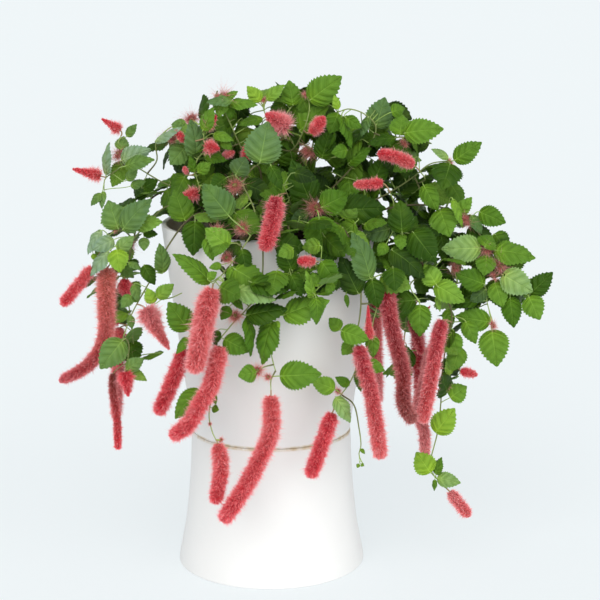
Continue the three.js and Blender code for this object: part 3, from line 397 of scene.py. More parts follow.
# Front catkins: shoot, radius in pixels, taper, tones at the stalk and at the tip, and the route.
frontCatkins = [
    ("shoot_left_top", 6.4, 0.7, "coral", "crimson", [(120, 130, 24), (102, 119, 26)]),
    ("shoot_left_top", 7, 0.7, "coral", "crimson", [(100, 176, 26), (73, 169, 28)]),
    ("shoot_left_middle", 7, 0.1, "coral", "crimson", [(92, 268, 46), (77, 287, 49), (62, 305, 51)]),
    ("shoot_left_middle", 11, 0.44, "dusty", "deep", [
        (107, 269, 42), (106, 300, 45), (106, 330, 46), (100, 350, 47), (85, 368, 49), (60, 381, 51)]),
    ("shoot_left_middle", 8, 0.2, "crimson", "deep", [(125, 280, 36), (125, 296, 36)]),
    ("shoot_left_hanging", 4.6, 0, "brown", "crimson", [
        (113, 374, 56), (113, 392, 57), (117, 418, 58), (118, 449, 58)]),
    ("shoot_left_hanging", 11, 0.72, "pink", "coral", [(146, 309, 76), (155, 326, 78), (169, 349, 80)]),
    ("shoot_left_hanging", 8.5, 0.6, "crimson", "crimson", [
        (125, 373, 74), (127, 384, 75), (128, 396, 75)]),
    ("shoot_centre_left", 12.5, 0.15, "coral", "coral", [
        (212, 290, 113), (206, 312, 115), (201, 338, 115), (194, 372, 113)]),
    ("shoot_low_left", 9, 0.1, "crimson", "crimson", [(185, 350, 78), (171, 385, 78), (158, 414, 78)]),
    ("shoot_low_left", 10, 0.1, "coral", "crimson", [
        (220, 348, 106), (211, 386, 107), (203, 399, 107), (188, 425, 106), (171, 437, 105)]),
    ("shoot_low_left", 9, 0.1, "coral", "crimson", [(218, 445, 104), (221, 469, 104), (215, 503, 104)]),
    ("shoot_low_left", 9.5, 0, "coral", "crimson", [
        (271, 397, 104), (271, 431, 106), (261, 456, 108), (248, 482, 110), (236, 501, 111),
        (223, 521, 112)]),
    ("shoot_rosette", 10, 0.1, "deep", "crimson", [
        (276, 198, 98), (274, 215, 101), (269, 235, 104), (264, 250, 107)]),
    ("shoot_centre_low", 6, 0.1, "coral", "crimson", [(315, 261, 105), (298, 261, 107)]),
    ("shoot_right_low", 8.5, 0, "crimson", "crimson", [(332, 414, 84), (322, 444, 86), (310, 477, 88)]),
    ("shoot_right_low", 8.5, 0, "deep", "coral", [
        (359, 347, 88), (364, 367, 89), (371, 392, 89), (375, 418, 90), (381, 458, 90)]),
    ("shoot_right_centre", 6.5, 0.3, "crimson", "coral", [(382, 183, 58), (354, 185, 61)]),
    ("shoot_right_centre", 9, 0.1, "deep", "brown", [
        (387, 289, 64), (390, 319, 67), (397, 348, 71), (403, 373, 75), (404, 405, 79),
        (414, 422, 82)]),
    ("shoot_left_crown", 7, 0.45, "coral", "crimson", [(205, 127, 29), (216, 116, 30)]),
    ("shoot_left_crown", 8, 0.45, "coral", "crimson", [(206, 146, 33), (219, 149, 35)]),
    ("shoot_left_crown", 7, 0.45, "coral", "crimson", [(248, 158, 20), (246, 144, 21)]),
    ("shoot_left_crown", 7, 0.6, "coral", "crimson", [(197, 193, 36), (177, 198, 40)]),
    ("shoot_middle_crown", 11.5, 0.45, "pink", "crimson", [(287, 127, 30), (266, 114, 32)]),
    ("shoot_middle_crown", 8.5, 0.3, "coral", "crimson", [(312, 133, 34), (324, 117, 35)]),
    ("shoot_right_top", 7.5, 0.2, "coral", "crimson", [(413, 165, 42), (396, 157, 44), (378, 153, 44)]),
    ("shoot_right_hanging", 8, 0, "deep", "coral", [
        (442, 321, 60), (436, 348, 62), (431, 379, 62), (422, 422, 62)]),
    ("shoot_right_hanging", 7, 0.1, "pink", "pink", [
        (432, 346, 28), (425, 380, 28), (417, 410, 28), (424, 430, 29), (425, 457, 29)]),
    ("shoot_right_hanging", 5.5, 0.2, "brown", "deep", [
        (411, 320, 40), (417, 338, 40), (422, 354, 40)]),
    ("shoot_right_hanging", 6, 0.3, "crimson", "coral", [(461, 371, 44), (477, 375, 45)]),
    ("shoot_right_hanging", 7, 0.1, "pink", "coral", [(450, 492, 44), (469, 516, 45)]),
]

# Small ones in the same form, which the solids don't have
smallCatkins = [
    ("shoot_left_crown", 5, 0.3, "coral", "crimson", [(184, 141, 20), (176, 130, 22)]),
    ("shoot_left_crown", 5, 0.2, "pink", "coral", [(223, 156, 24), (234, 152, 25)]),
    ("shoot_left_crown", 4, 0.3, "pink", "coral", [(187, 174, 34), (184, 167, 35)]),
    ("shoot_right_low", 5.5, 0.85, "coral", "crimson", [(369, 338, 80), (368, 306, 80)]),
]


# Shader maths: arithmetic on a Signal adds the Math nodes.
class Signal:
    def __init__(self, finish, socket):
        self.finish = finish
        self.socket = socket

    def apply(self, operation, *others):
        return self.finish.maths(operation, self, *others)

    def __add__(self, other):
        return self.apply("ADD", other)

    def __mul__(self, other):
        return self.apply("MULTIPLY", other)

    def __sub__(self, other):
        return self.apply("SUBTRACT", other)

    def __pow__(self, other):
        return self.apply("POWER", other)

    __radd__ = __add__
    __rmul__ = __mul__

    def __rsub__(self, other):
        return self.finish.maths("SUBTRACT", other, self)

    def size(self):
        return self.apply("ABSOLUTE")

    def part(self):
        return self.apply("FRACT")

    # 0 below low, 1 above high and smooth between
    def above(self, low, high):
        sockets = {"Value": self, "From Min": low, "From Max": high}
        return self.finish.node("ShaderNodeMapRange", {"interpolation_type": "SMOOTHSTEP"}, sockets)


# A material and its nodes. shine is the shader's Specular IOR Level.
class Finish:
    def __init__(self, name, shine, **constants):
        self.material = bpy.data.materials.new(name)
        self.material.use_nodes = True
        self.tree = self.material.node_tree
        self.tree.nodes.clear()
        self.shader = self.tree.nodes.new("ShaderNodeBsdfPrincipled")
        self.output = self.tree.nodes.new("ShaderNodeOutputMaterial")
        self.tree.links.new(self.shader.outputs[0], self.output.inputs[0])
        self.shader.inputs["Specular IOR Level"].default_value = shine
        for label, value in constants.items():
            self.shader.inputs[label].default_value = value

    def node(self, kind, settings=None, sockets=None, output=0):
        made = self.tree.nodes.new(kind)
        for label, value in (settings or {}).items():
            setattr(made, label, value)
        for label, value in (sockets or {}).items():
            self.plug(made.inputs[label], value)
        return Signal(self, made.outputs[output])

    def maths(self, operation, *values):
        return self.node("ShaderNodeMath", {"operation": operation}, dict(enumerate(values)))

    def plug(self, socket, value):
        if isinstance(value, Signal):
            self.tree.links.new(value.socket, socket)
        elif isinstance(value, tuple) and len(value) == 3 and len(socket.default_value) == 4:
            socket.default_value = (*value, 1)
        else:
            socket.default_value = value

    def feed(self, label, value):
        self.plug(self.shader.inputs[label], value)

    def painted(self, name, output="Vector"):
        return self.node("ShaderNodeAttribute", {"attribute_name": name}, output=output)

    def axes(self, vector):
        first = self.node("ShaderNodeSeparateXYZ", sockets={"Vector": vector})
        return [Signal(self, output) for output in first.socket.node.outputs]

    def here(self):
        return self.node("ShaderNodeTexCoord", output="Object")

    def noise(self, scale, detail=3, vector=None, roughness=0.5):
        sockets = {"Scale": scale, "Detail": detail, "Roughness": roughness}
        sockets["Vector"] = vector or self.here()
        return self.node("ShaderNodeTexNoise", sockets=sockets)

    def cells(self, scale, feature="F1"):
        sockets = {"Scale": scale, "Vector": self.here()}
        return self.node("ShaderNodeTexVoronoi", {"feature": feature}, sockets)

    def mix(self, share, first, second, blend="MIX"):
        settings = {"data_type": "RGBA", "blend_type": blend}
        return self.node("ShaderNodeMix", settings, {0: share, 6: first, 7: second}, output=2)

    def tinted(self, colour, factors):
        return self.mix(1.0, colour, factors, "MULTIPLY")

    def bump(self, height, strength, distance):
        sockets = {"Height": height, "Strength": strength, "Distance": distance}
        self.feed("Normal", self.node("ShaderNodeBump", sockets=sockets))

    def letThrough(self, share, colour):
        glow = self.node("ShaderNodeBsdfTranslucent", sockets={"Color": colour})
        shaders = {0: share, 1: Signal(self, self.shader.outputs[0]), 2: glow}
        both = self.node("ShaderNodeMixShader", sockets=shaders)
        self.tree.links.new(both.socket, self.output.inputs[0])


# Colours named as tints are factors on the leaf's own tone. Widths are shares of the space between
# two side veins, or of the half leaf.
leafFinish = {
    "shine": 0.12,
    "roughness": 0.34,
    "veinWidth": 0.16,
    "midribWidth": 0.05,
    # groove and pleat sink the relief beside the side veins, and also paint shade into these creases
    "groove": (0.40, 0.84),
    "pleat": (0.34, 0.5),
    "pleats": 3,                       # between two side veins
    "netScale": 1100,
    "mottleScale": 220,
    "patchScale": 60,
    "patches": 0.16,
    # darkTint darkens the random mottle, and is the painted shade in the grooves and pleats
    "darkTint": (0.50, 0.60, 0.52),
    # coolTint, coolAt and cool turn the tip and margin darker and bluer: partly the leaf's own tone, partly
    # painted shade over the curving blade and a painted bluish sheen
    "coolTint": (0.76, 0.82, 1.3),
    "coolAt": ((0.2, 0.9), (0.4, 1)),  # along and across
    "cool": 0.8,
    # The paler base is partly the leaf's young lime colour and partly painted light, brighter where the
    # blade faces the lamps
    "youngAndLitTint": (2.2, 1.95, 1.4),
    "youngAndLit": 0.75,
    "youngColour": (0.22, 0.40, 0.03),
    "veinTint": (2.2, 2.0, 2.2),
    "veinColour": (0.24, 0.40, 0.08),
    "midrib": (0.75, 0.35),            # at the base, and what it loses towards the tip
    "veins": 0.26,
    "bump": (0.7, 0.0006),             # strength, and depth in metres
    "letThrough": 0.10,
    "glow": (0.24, 0.45, 0.02),
}


# place holds the count of side veins so far, the way across and the way along.
def makeLeafMaterial():
    look = leafFinish
    paint = Finish("leafFace", look["shine"])
    tone = paint.painted("tone", "Color")
    phase, v, t = paint.axes(paint.painted("place"))
    across = v.size()
    lateral = (phase.part() - 0.5).size() * 2
    inner = 1 - across.above(0.8, 1)
    veins = lateral.above(1 - look["veinWidth"], 1) * inner
    groove = lateral.above(*look["groove"]) * inner
    pleats = ((phase * look["pleats"]).part() - 0.5).size().above(*look["pleat"]) * inner
    midrib = 1 - across.above(0.015, look["midribWidth"])
    netting = 1 - paint.cells(look["netScale"], "DISTANCE_TO_EDGE").above(0.0, 0.12)
    mottle = paint.noise(look["mottleScale"])
    patches = paint.noise(look["patchScale"], 2)
    # Darker and bluer towards the tip and margin: partly the leaf's own tone, partly painted shade and a
    # painted bluish sheen
    coolAlong, coolAcross = look["coolAt"]
    outer = (t.above(*coolAlong) + across.above(*coolAcross)) * 0.5
    colour = paint.mix(outer * look["cool"], tone, paint.tinted(tone, look["coolTint"]))
    # Random mottle darkens the tone, and the grooves and pleats get painted shade, as if in their creases
    mottleAndCreaseShade = mottle.above(0.35, 0.75) * 0.35 + groove * 0.42 + pleats * 0.30
    colour = paint.mix(mottleAndCreaseShade, colour, paint.tinted(tone, look["darkTint"]))
    colour = paint.mix(patches.above(0.5, 0.75) * look["patches"], colour, look["youngColour"])
    # Paler near the base and the midrib: partly the young colour, partly painted light
    pale = (1 - t.above(0.0, 0.7)) * (1 - across.above(0.0, 0.9))
    youngAndLit = paint.mix(0.35, paint.tinted(tone, look["youngAndLitTint"]), look["youngColour"])
    colour = paint.mix(pale * look["youngAndLit"], colour, youngAndLit)
    veinTone = paint.mix(0.5, paint.tinted(tone, look["veinTint"]), look["veinColour"])
    atBase, lost = look["midrib"]
    veined = (midrib * (atBase - t * lost)).apply("MAXIMUM", veins * look["veins"])
    paint.feed("Base Color", paint.mix(veined, colour, veinTone))
    paint.feed("Roughness", look["roughness"] + mottle * 0.2)
    ribs = veins.apply("MAXIMUM", midrib)
    height = mottle * 0.4 - ribs * 0.5 - groove * 0.6 - pleats * 0.3 - netting * 0.16
    paint.bump(height, *look["bump"])
    paint.letThrough(look["letThrough"], look["glow"])
    return paint.material


underFinish = {
    "shine": 0.1,
    "roughness": 0.58,
    "midrib": (0.02, 0.07),
    "grainScale": 400,
    "colour": (0.20, 0.32, 0.13),
    "ribColour": (0.34, 0.46, 0.20),
    "bump": (0.5, 0.0005),
}


def makeLeafUnderMaterial():
    paint = Finish("leafUnder", underFinish["shine"])
    tone = paint.painted("tone", "Color")
    phase, v, t = paint.axes(paint.painted("place"))
    lateral = (phase.part() - 0.5).size() * 2
    midrib = 1 - v.size().above(*underFinish["midrib"])
    ribs = lateral.above(1 - leafFinish["veinWidth"], 1).apply("MAXIMUM", midrib)
    grain = paint.noise(underFinish["grainScale"])
    colour = paint.mix(0.35, tone, underFinish["colour"])
    paint.feed("Base Color", paint.mix(ribs * 0.4, colour, underFinish["ribColour"]))
    paint.feed("Roughness", underFinish["roughness"] + grain * 0.2)
    paint.bump(grain * 0.4 + ribs, *underFinish["bump"])
    paint.letThrough(leafFinish["letThrough"], leafFinish["glow"])
    return paint.material


stemFinish = {
    "shine": 0.35,
    "roughness": 0.5,
    "grainScale": 260,
    "speckScale": 1400,
    "darkTint": (0.6, 0.5, 0.4),
    "speckColour": (0.42, 0.44, 0.22),
    "bump": (0.4, 0.0004),
}


def makeStemMaterial():
    paint = Finish("stemBark", stemFinish["shine"])
    tone = paint.painted("tone", "Color")
    grain = paint.noise(stemFinish["grainScale"], 4)
    specks = paint.cells(stemFinish["speckScale"])
    colour = paint.mix(grain.above(0.3, 0.75) * 0.4, tone, paint.tinted(tone, stemFinish["darkTint"]))
    colour = paint.mix((1 - specks.above(0.05, 0.25)) * 0.3, colour, stemFinish["speckColour"])
    paint.feed("Base Color", colour)
    paint.feed("Roughness", stemFinish["roughness"] + grain * 0.25)
    paint.bump(grain + specks * 0.4, *stemFinish["bump"])
    return paint.material


bristleFinish = {
    "shine": 0.25,
    "roughness": 0.55,
    "darkTint": (0.60, 0.40, 0.44),    # at a hair's root
    "endColour": (0.98, 0.62, 0.62),
    "endShare": (0.14, 0.82),          # of every hair, and more of some
    "letThrough": 0.35,
    "glow": (0.98, 0.34, 0.37),
}


# place holds the height on the hair, the hair's chance and how much its end takes the end colour.
def makeBristleMaterial():
    paint = Finish("catkinBristle", bristleFinish["shine"])
    tone = paint.painted("tone", "Color")
    height, chance, fringe = paint.axes(paint.painted("place"))
    colour = paint.mix(height.above(0.1, 0.6), paint.tinted(tone, bristleFinish["darkTint"]), tone)
    least, more = bristleFinish["endShare"]
    ends = height.above(0.25, 0.85) * (least + chance.above(0.4, 0.9) * more) * fringe
    paint.feed("Base Color", paint.mix(ends, colour, bristleFinish["endColour"]))
    paint.feed("Roughness", bristleFinish["roughness"] + chance * 0.2)
    paint.letThrough(bristleFinish["letThrough"], bristleFinish["glow"])
    return paint.material


coreFinish = {
    "shine": 0.2,
    "roughness": 0.7,
    "grainScale": 900,
    "patchScale": 300,
    "darkTint": (0.42, 0.3, 0.3),
    "patchColour": (0.13, 0.05, 0.02),
    "bump": (0.8, 0.0006),
}


def makeCoreMaterial():
    paint = Finish("catkinCore", coreFinish["shine"])
    tone = paint.painted("tone", "Color")
    grains = paint.cells(coreFinish["grainScale"])
    patches = paint.noise(coreFinish["patchScale"])
    colour = paint.mix(grains.above(0.1, 0.6) * 0.6, paint.tinted(tone, coreFinish["darkTint"]), tone)
    paint.feed("Base Color", paint.mix(patches.above(0.5, 0.75) * 0.5, colour, coreFinish["patchColour"]))
    paint.feed("Roughness", coreFinish["roughness"] + patches * 0.2)
    paint.bump(grains + patches, *coreFinish["bump"])
    return paint.material


# Heights and radii here are in metres.
potFinish = {
    "shine": 0.4,
    "roughness": 0.42,
    "white": (0.75, 0.75, 0.745),
    "shade": (0.70, 0.695, 0.685),
    "inner": (0.66, 0.60, 0.50),
    "stain": (0.52, 0.40, 0.22),
    "cloudScale": 9,
    "dustScale": 70,
    "streakScale": 38,
    "streakStretch": (1, 1, 0.15),
    "speckScale": 260,
    "seam": 0.105,                     # the height where pot and stand meet
    "seamWidth": (0.0008, 0.0024),
    "seamScale": 55,
    "seamStain": 0.85,
    "innerRadius": 0.0601,             # at the seam, a little under the outer wall
    "innerSlope": 0.13375,
    "innerEdge": (-0.0032, -0.0020),
    "bump": (0.16, 0.0008),
}


def makePotMaterial(name, hasInside):
    look = potFinish
    paint = Finish(name, look["shine"])
    x, y, z = paint.axes(paint.here())
    cloud = paint.noise(look["cloudScale"], 4)
    dust = paint.noise(look["dustScale"], 5, roughness=0.65)
    sockets = {"Vector": paint.here(), "Scale": look["streakStretch"]}
    streaks = paint.noise(look["streakScale"], 4, paint.node("ShaderNodeMapping", sockets=sockets))
    specks = paint.cells(look["speckScale"])
    colour = paint.mix(cloud.above(0.35, 0.7) * 0.35, look["white"], look["shade"])
    colour = paint.mix(streaks.above(0.55, 0.8) * 0.22, colour, look["shade"])
    dirty = (1 - specks.above(0.02, 0.08)) * dust.above(0.5, 0.7)
    colour = paint.mix(dirty * 0.35, colour, look["stain"])
    ragged = paint.noise(look["seamScale"], 5, roughness=0.7)
    worn = (1 - (z - look["seam"]).size().above(*look["seamWidth"])) * ragged.above(0.30, 0.62)
    colour = paint.mix(worn * look["seamStain"], colour, look["stain"])
    if hasInside:
        wall = look["innerRadius"] + (z - look["seam"]) * look["innerSlope"]
        radius = (x * x + y * y) ** 0.5
        low, high = look["innerEdge"]
        inside = 1 - radius.above(wall + low, wall + high)
        cream = paint.mix(dust.above(0.35, 0.7) * 0.5, look["inner"], look["stain"])
        colour = paint.mix(inside, colour, cream)
    paint.feed("Base Color", colour)
    paint.feed("Roughness", look["roughness"] + dust * 0.14 + worn * 0.3)
    paint.bump(dust * 0.5 + streaks * 0.3 + cloud - worn * 0.6, *look["bump"])
    return paint.material


soilFinish = {
    "shine": 0.15,
    "roughness": 0.85,
    "crumbScale": 240,
    "fineScale": 500,
    "fibreScale": 120,
    "dark": (0.018, 0.011, 0.007),
    "brown": (0.075, 0.045, 0.026),
    "fibre": (0.13, 0.085, 0.05),
    "grit": (0.24, 0.20, 0.15),
    "bump": (1.0, 0.0015),
}


def makeSoilMaterial():
    look = soilFinish
    paint = Finish("pottingSoil", look["shine"])
    crumbs = paint.cells(look["crumbScale"])
    fine = paint.noise(look["fineScale"], 5, roughness=0.7)
    fibres = paint.noise(look["fibreScale"])
    colour = paint.mix(fine.above(0.3, 0.7), look["dark"], look["brown"])
    colour = paint.mix(fibres.above(0.6, 0.7) * 0.6, colour, look["fibre"])
    colour = paint.mix((1 - crumbs.above(0.05, 0.12)) * 0.35, colour, look["grit"])
    paint.feed("Base Color", colour)
    paint.feed("Roughness", look["roughness"] + fine * 0.12)
    paint.bump(crumbs + fine * 0.8, *look["bump"])
    return paint.material


floorFinish = {
    "light": (0.26, 0.265, 0.265),
    "dull": (0.25, 0.255, 0.255),
    "glow": (0.90, 0.97, 1.0, 1),
    "glowStrength": 0.66,
    "roughness": 0.8,
    "size": (80, 120),                 # metres
}


def makeFloorMaterial():
    constants = {
        "Roughness": floorFinish["roughness"],
        "Emission Color": floorFinish["glow"],
        "Emission Strength": floorFinish["glowStrength"],
    }
    paint = Finish("paleFloor", 0.0, **constants)
    paint.feed("Base Color", paint.mix(paint.noise(3, 2) * 0.3, floorFinish["light"], floorFinish["dull"]))
    return paint.material


plantMaterials = [
    makeLeafMaterial(),
    makeLeafUnderMaterial(),
    makeStemMaterial(),
    makeBristleMaterial(),
    makeCoreMaterial(),
]
facePart, underPart, stemPart, bristlePart, corePart = range(len(plantMaterials))
print("materials made")


# Gathers the points, faces and painted values of one piece. place and tone are kept at each point.
class Sheaf:
    def __init__(self, name):
        self.name = name
        self.points, self.places, self.tones = [], [], []
        self.quads, self.threes = [], []
        self.quadParts, self.threeParts = [], []
        self.count = 0

    # part is the material's place in the list, or one for each quad and one for each triangle.
    def add(self, points, quads, threes, part, places, tones):
        quadPart, threePart = part if isinstance(part, tuple) else (part, part)
        self.points.append(points)
        self.places.append(np.broadcast_to(places, (len(points), 3)))
        self.tones.append(np.broadcast_to(tones, (len(points), 3)))
        if len(quads):
            self.quads.append(quads + self.count)
            self.quadParts.append(np.broadcast_to(quadPart, len(quads)))
        if len(threes):
            self.threes.append(threes + self.count)
            self.threeParts.append(np.broadcast_to(threePart, len(threes)))
        self.count += len(points)

    # One value runs along a tube.
    def addTube(self, tube, part, tones):
        points, quads, caps, shares = tube
        self.add(points, quads, caps, part, np.stack([shares, shares, shares], axis=1), tones)

    def make(self, materials):
        points = np.concatenate(self.points) * metre
        quads, threes = np.concatenate(self.quads), np.concatenate(self.threes)
        mesh = bpy.data.meshes.new(self.name)
        mesh.vertices.add(len(points))
        mesh.vertices.foreach_set("co", points.astype(np.float32).ravel())
        corners = np.concatenate([quads.ravel(), threes.ravel()]).astype(np.int32)
        sizes = np.concatenate([np.full(len(quads), 4), np.full(len(threes), 3)])
        mesh.loops.add(len(corners))
        mesh.loops.foreach_set("vertex_index", corners)
        mesh.polygons.add(len(sizes))
        mesh.polygons.foreach_set("loop_start", (np.cumsum(sizes) - sizes).astype(np.int32))
        parts = np.concatenate([*self.quadParts, *self.threeParts]).astype(np.int32)
        mesh.polygons.foreach_set("material_index", parts)
        mesh.polygons.foreach_set("use_smooth", np.ones(len(sizes), bool))
        place = mesh.attributes.new("place", "FLOAT_VECTOR", "POINT")
        place.data.foreach_set("vector", np.concatenate(self.places).astype(np.float32).ravel())
        tone = mesh.attributes.new("tone", "FLOAT_COLOR", "POINT")
        colours = np.concatenate([np.concatenate(self.tones), np.ones((len(points), 1))], axis=1)
        tone.data.foreach_set("color", colours.astype(np.float32).ravel())
        for material in materials:
            mesh.materials.append(material)
        mesh.update(calc_edges=True)
        self.sharpenMargins(mesh, parts)
        mesh.validate()
        return linked(self.name, mesh)

    # The two faces of a leaf keep normals of their own at the edge that they share.
    def sharpenMargins(self, mesh, parts):
        edges = np.empty(len(mesh.loops), np.int32)
        mesh.loops.foreach_get("edge_index", edges)
        totals = np.empty(len(mesh.polygons), np.int32)
        mesh.polygons.foreach_get("loop_total", totals)
        loopParts = np.repeat(parts, totals)
        low = np.full(len(mesh.edges), len(plantMaterials))
        high = np.full(len(mesh.edges), -1)
        np.minimum.at(low, edges, loopParts)
        np.maximum.at(high, edges, loopParts)
        sharp = mesh.attributes.new("sharp_edge", "BOOLEAN", "EDGE")
        sharp.data.foreach_set("value", low != high)


def linked(name, data):
    made = bpy.data.objects.new(name, data)
    bpy.context.scene.collection.objects.link(made)
    return made


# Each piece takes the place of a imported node.
def settle(piece, node):
    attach(piece, "root")
    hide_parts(node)


def unit(vector):
    return vector / (np.linalg.norm(vector) + 1e-12)


def units(vectors):
    return vectors / (np.linalg.norm(vectors, axis=1)[:, None] + 1e-12)


def between(pair, share):
    return pair[0] + (pair[1] - pair[0]) * share


def upright(height):
    return np.array([0, 0, height])


# The part of a direction that is square to another
def squareTo(along, vector):
    return unit(vector - along * np.dot(vector, along))


# A curve that leaves start towards corner and arrives at end from there.
def curved(start, corner, end, steps):
    t = np.linspace(0, 1, steps)[:, None]
    return (1 - t) ** 2 * start + 2 * (1 - t) * t * corner + t ** 2 * end


# Rises from 0 at low to 1 over the given span.
def ramp(values, low, span):
    return np.clip((values - low) / span, 0, 1)


# A smooth line through the points, as the solids have it.
def splineThrough(points, perSpan=8):
    line = []
    for i in range(len(points) - 1):
        p, q = points[i], points[i + 1]
        before = points[i - 1] if i > 0 else 2 * p - q
        after = points[i + 2] if i + 2 < len(points) else 2 * q - p
        for k in range(perSpan):
            t = k / perSpan
            line.append((
                before * (-t + 2 * t * t - t ** 3)
                + p * (2 - 5 * t * t + 3 * t ** 3)
                + q * (t + 4 * t * t - 3 * t ** 3)
                + after * (-t * t + t ** 3)
            ) / 2)
    line.append(points[-1])
    return np.array(line)


def lengthsAlong(line):
    steps = np.linalg.norm(np.diff(line, axis=0), axis=1)
    return np.concatenate([[0], np.cumsum(steps)])


def pointsAt(line, distances):
    along = lengthsAlong(line)
    return np.stack([np.interp(distances, along, line[:, axis]) for axis in range(3)], axis=1)


def pointAt(line, distance):
    return pointsAt(line, np.array([distance]))[0]


def evenly(line, step):
    total = lengthsAlong(line)[-1]
    return pointsAt(line, np.linspace(0, total, max(3, int(round(total / step)) + 1)))


# Directions along a line, with two more across it that don't twist.
def framesAlong(line):
    ways = units(np.gradient(line, axis=0))
    up = np.array([1.0, 0, 0]) if abs(ways[0][2]) > 0.9 else np.array([0, 0, 1.0])
    ups = []
    for way in ways:
        up = squareTo(way, up)
        ups.append(up)
    ups = np.array(ups)
    return ways, np.cross(ways, ups), ups


def ringFaces(rings, sides):
    ring, corner = np.meshgrid(np.arange(rings - 1), np.arange(sides), indexing="ij")
    a = ring * sides + corner
    b = ring * sides + (corner + 1) % sides
    return np.stack([a, b, b + sides, a + sides], axis=-1).reshape(-1, 4)


# A closed round tube. radii is one number or one for each point.
def tubeShape(line, radii, sides):
    ways, rights, ups = framesAlong(line)
    angles = np.arange(sides) / sides * circle
    radii = np.broadcast_to(radii, len(line))
    spread = rights[:, None] * np.cos(angles)[None, :, None] + ups[:, None] * np.sin(angles)[None, :, None]
    rings = line[:, None] + spread * radii[:, None, None]
    ends = np.stack([line[0] - ways[0] * radii[0] * 0.5, line[-1] + ways[-1] * radii[-1] * 0.5])
    points = np.concatenate([rings.reshape(-1, 3), ends])
    first, last = len(points) - 2, len(points) - 1
    base = (len(line) - 1) * sides
    corner = np.arange(sides)
    following = (corner + 1) % sides
    caps = np.concatenate([
        np.stack([np.full(sides, first), following, corner], axis=1),
        np.stack([np.full(sides, last), base + corner, base + following], axis=1),
    ])
    shares = np.repeat(np.linspace(0, 1, len(line)), sides)
    return points, ringFaces(len(line), sides), caps, np.concatenate([shares, [0, 1]])


# Leaves

bladeForm = {
    "firstRow": 0.012,
    "toothAt": 0.66,                   # of the way from notch to notch
    "notch": -0.75,                    # how far in, where a tooth comes out by 1
    "toothOut": 0.080,
    "toothOn": 0.006,
    "sweep": 1.35,                     # side veins lean towards the tip
    "heel": (0.035, 0.12),             # the lobes at the base
    "swell": 0.46,
    "narrow": 0.92,                    # how soon it comes to a point
    "fullness": 0.4,
    "veinStart": (0.03, 0.28, 1.9),
    "veinCurve": 1.25,
    "pleat": 1.2,                      # millimetres on a leaf 30 long
    "midribGroove": 0.5,
    "keel": -1.2,
    "waves": 2.3,
    "wavePhase": 1.3,
}


# A leaf's two faces share the toothed edge. Rows follow the side veins from the midrib to a tooth
# or a notch, and columns are shares of the half width. Each point is (side veins so far, across,
# along, its place along, its place across, relief, wave).
def leafPattern(teeth, columns):
    form = bladeForm
    rows, rises = [form["firstRow"]], [0]
    for tooth in range(teeth):
        if tooth:
            rows.append(tooth / teeth)
            rises.append(form["notch"])
        rows.append((tooth + form["toothAt"]) / teeth)
        rises.append(1)
    rows, rises = np.array(rows), np.array(rises)
    heel, heelReach = form["heel"]
    leaning = rows ** form["sweep"]
    outShare = leaning - heel * np.exp(-((rows / heelReach) ** 2))
    bounded = np.clip(leaning, 0, 1)
    half = bounded ** form["swell"] * (1 - bounded) ** form["narrow"] / form["fullness"]
    slow, start, curve = form["veinStart"]
    midShare = slow * rows + (1 - slow) * ramp(rows, start, 1 - start) ** curve
    fade = np.clip(rows / 0.25, 0, 1) * np.clip((1 - rows) / 0.2, 0, 1) ** 0.7
    toothOut = rises * fade * form["toothOut"]
    toothOn = rises * fade * form["toothOn"]

    upper = []
    top = [-column for column in reversed(columns)] + [0] + list(columns)
    for row, t in enumerate(rows):
        for v in top:
            size = abs(v)
            u = between((midShare[row], outShare[row]), size ** form["veinCurve"])
            x = half[row] * v
            if size == 1:
                u += toothOn[row]
                x += toothOut[row] * v
            puff = math.sin(math.pi * t * teeth / 2) ** 2 * 4 * size * (1 - size)
            relief = form["pleat"] * puff - form["midribGroove"] * max(0, 1 - size * 7)
            phase = form["wavePhase"] if v > 0 else 0
            wave = size ** 2 * math.sin(2 * math.pi * form["waves"] * t + phase)
            upper.append((t * teeth / 2, v, t, u, x, relief, wave))
    lower = [(t * teeth / 2, 0, t, midShare[row], 0, form["keel"], 0) for row, t in enumerate(rows)]
    tip = (teeth / 2, 0, 1, 1, 0, 0, 0)

    wide, count = len(top), len(rows)
    upperIds = np.arange(count * wide).reshape(count, wide)
    keelIds = np.arange(count)[:, None] + count * wide
    lowerIds = np.concatenate([upperIds[:, :1], keelIds, upperIds[:, -1:]], axis=1)
    end = count * (wide + 1)

    def sheet(ids, flip):
        a, b = ids[:-1, :-1], ids[:-1, 1:]
        c, d = ids[1:, 1:], ids[1:, :-1]
        quads = np.stack([a, b, c, d] if flip else [a, d, c, b], axis=-1).reshape(-1, 4)
        edge = list(zip(ids[-1], ids[-1][1:]))
        return quads, [(i, j, end) if flip else (j, i, end) for i, j in edge]

    upperQuads, upperTips = sheet(upperIds, True)
    lowerQuads, lowerTips = sheet(lowerIds, False)
    loop = list(lowerIds[0]) + list(upperIds[0][::-1][1:-1])
    base = [(loop[0], i, j) for i, j in zip(loop[1:], loop[2:])]
    return {
        "points": np.array(upper + lower + [tip]),
        "quads": np.concatenate([upperQuads, lowerQuads]),
        "quadParts": np.repeat([facePart, underPart], [len(upperQuads), len(lowerQuads)]),
        "threes": np.array(upperTips + lowerTips + base),
        "threeParts": np.repeat([facePart, underPart], [len(upperTips), len(lowerTips) + len(base)]),
    }


leafSettings = {
    "aspect": 0.78,
    "slimmest": 0.8,
    "leanShare": 0.8,
    "lift": 3,
    "shortestPetiole": 3,
    "arch": (0.05, 0.12),
    "fold": (0.12, 0.28),
    "shifts": (0, 4, -4, 8, -8, 12, -12, 17, -17, 23, -23, 30, -30),
    "scales": (1, 0.82),
    "sameTip": 0.15,                   # millimetres
    "usual": 30,                       # the length that relief is stated for
    "edgeWave": 0.85,
    "spacing": 5,
}
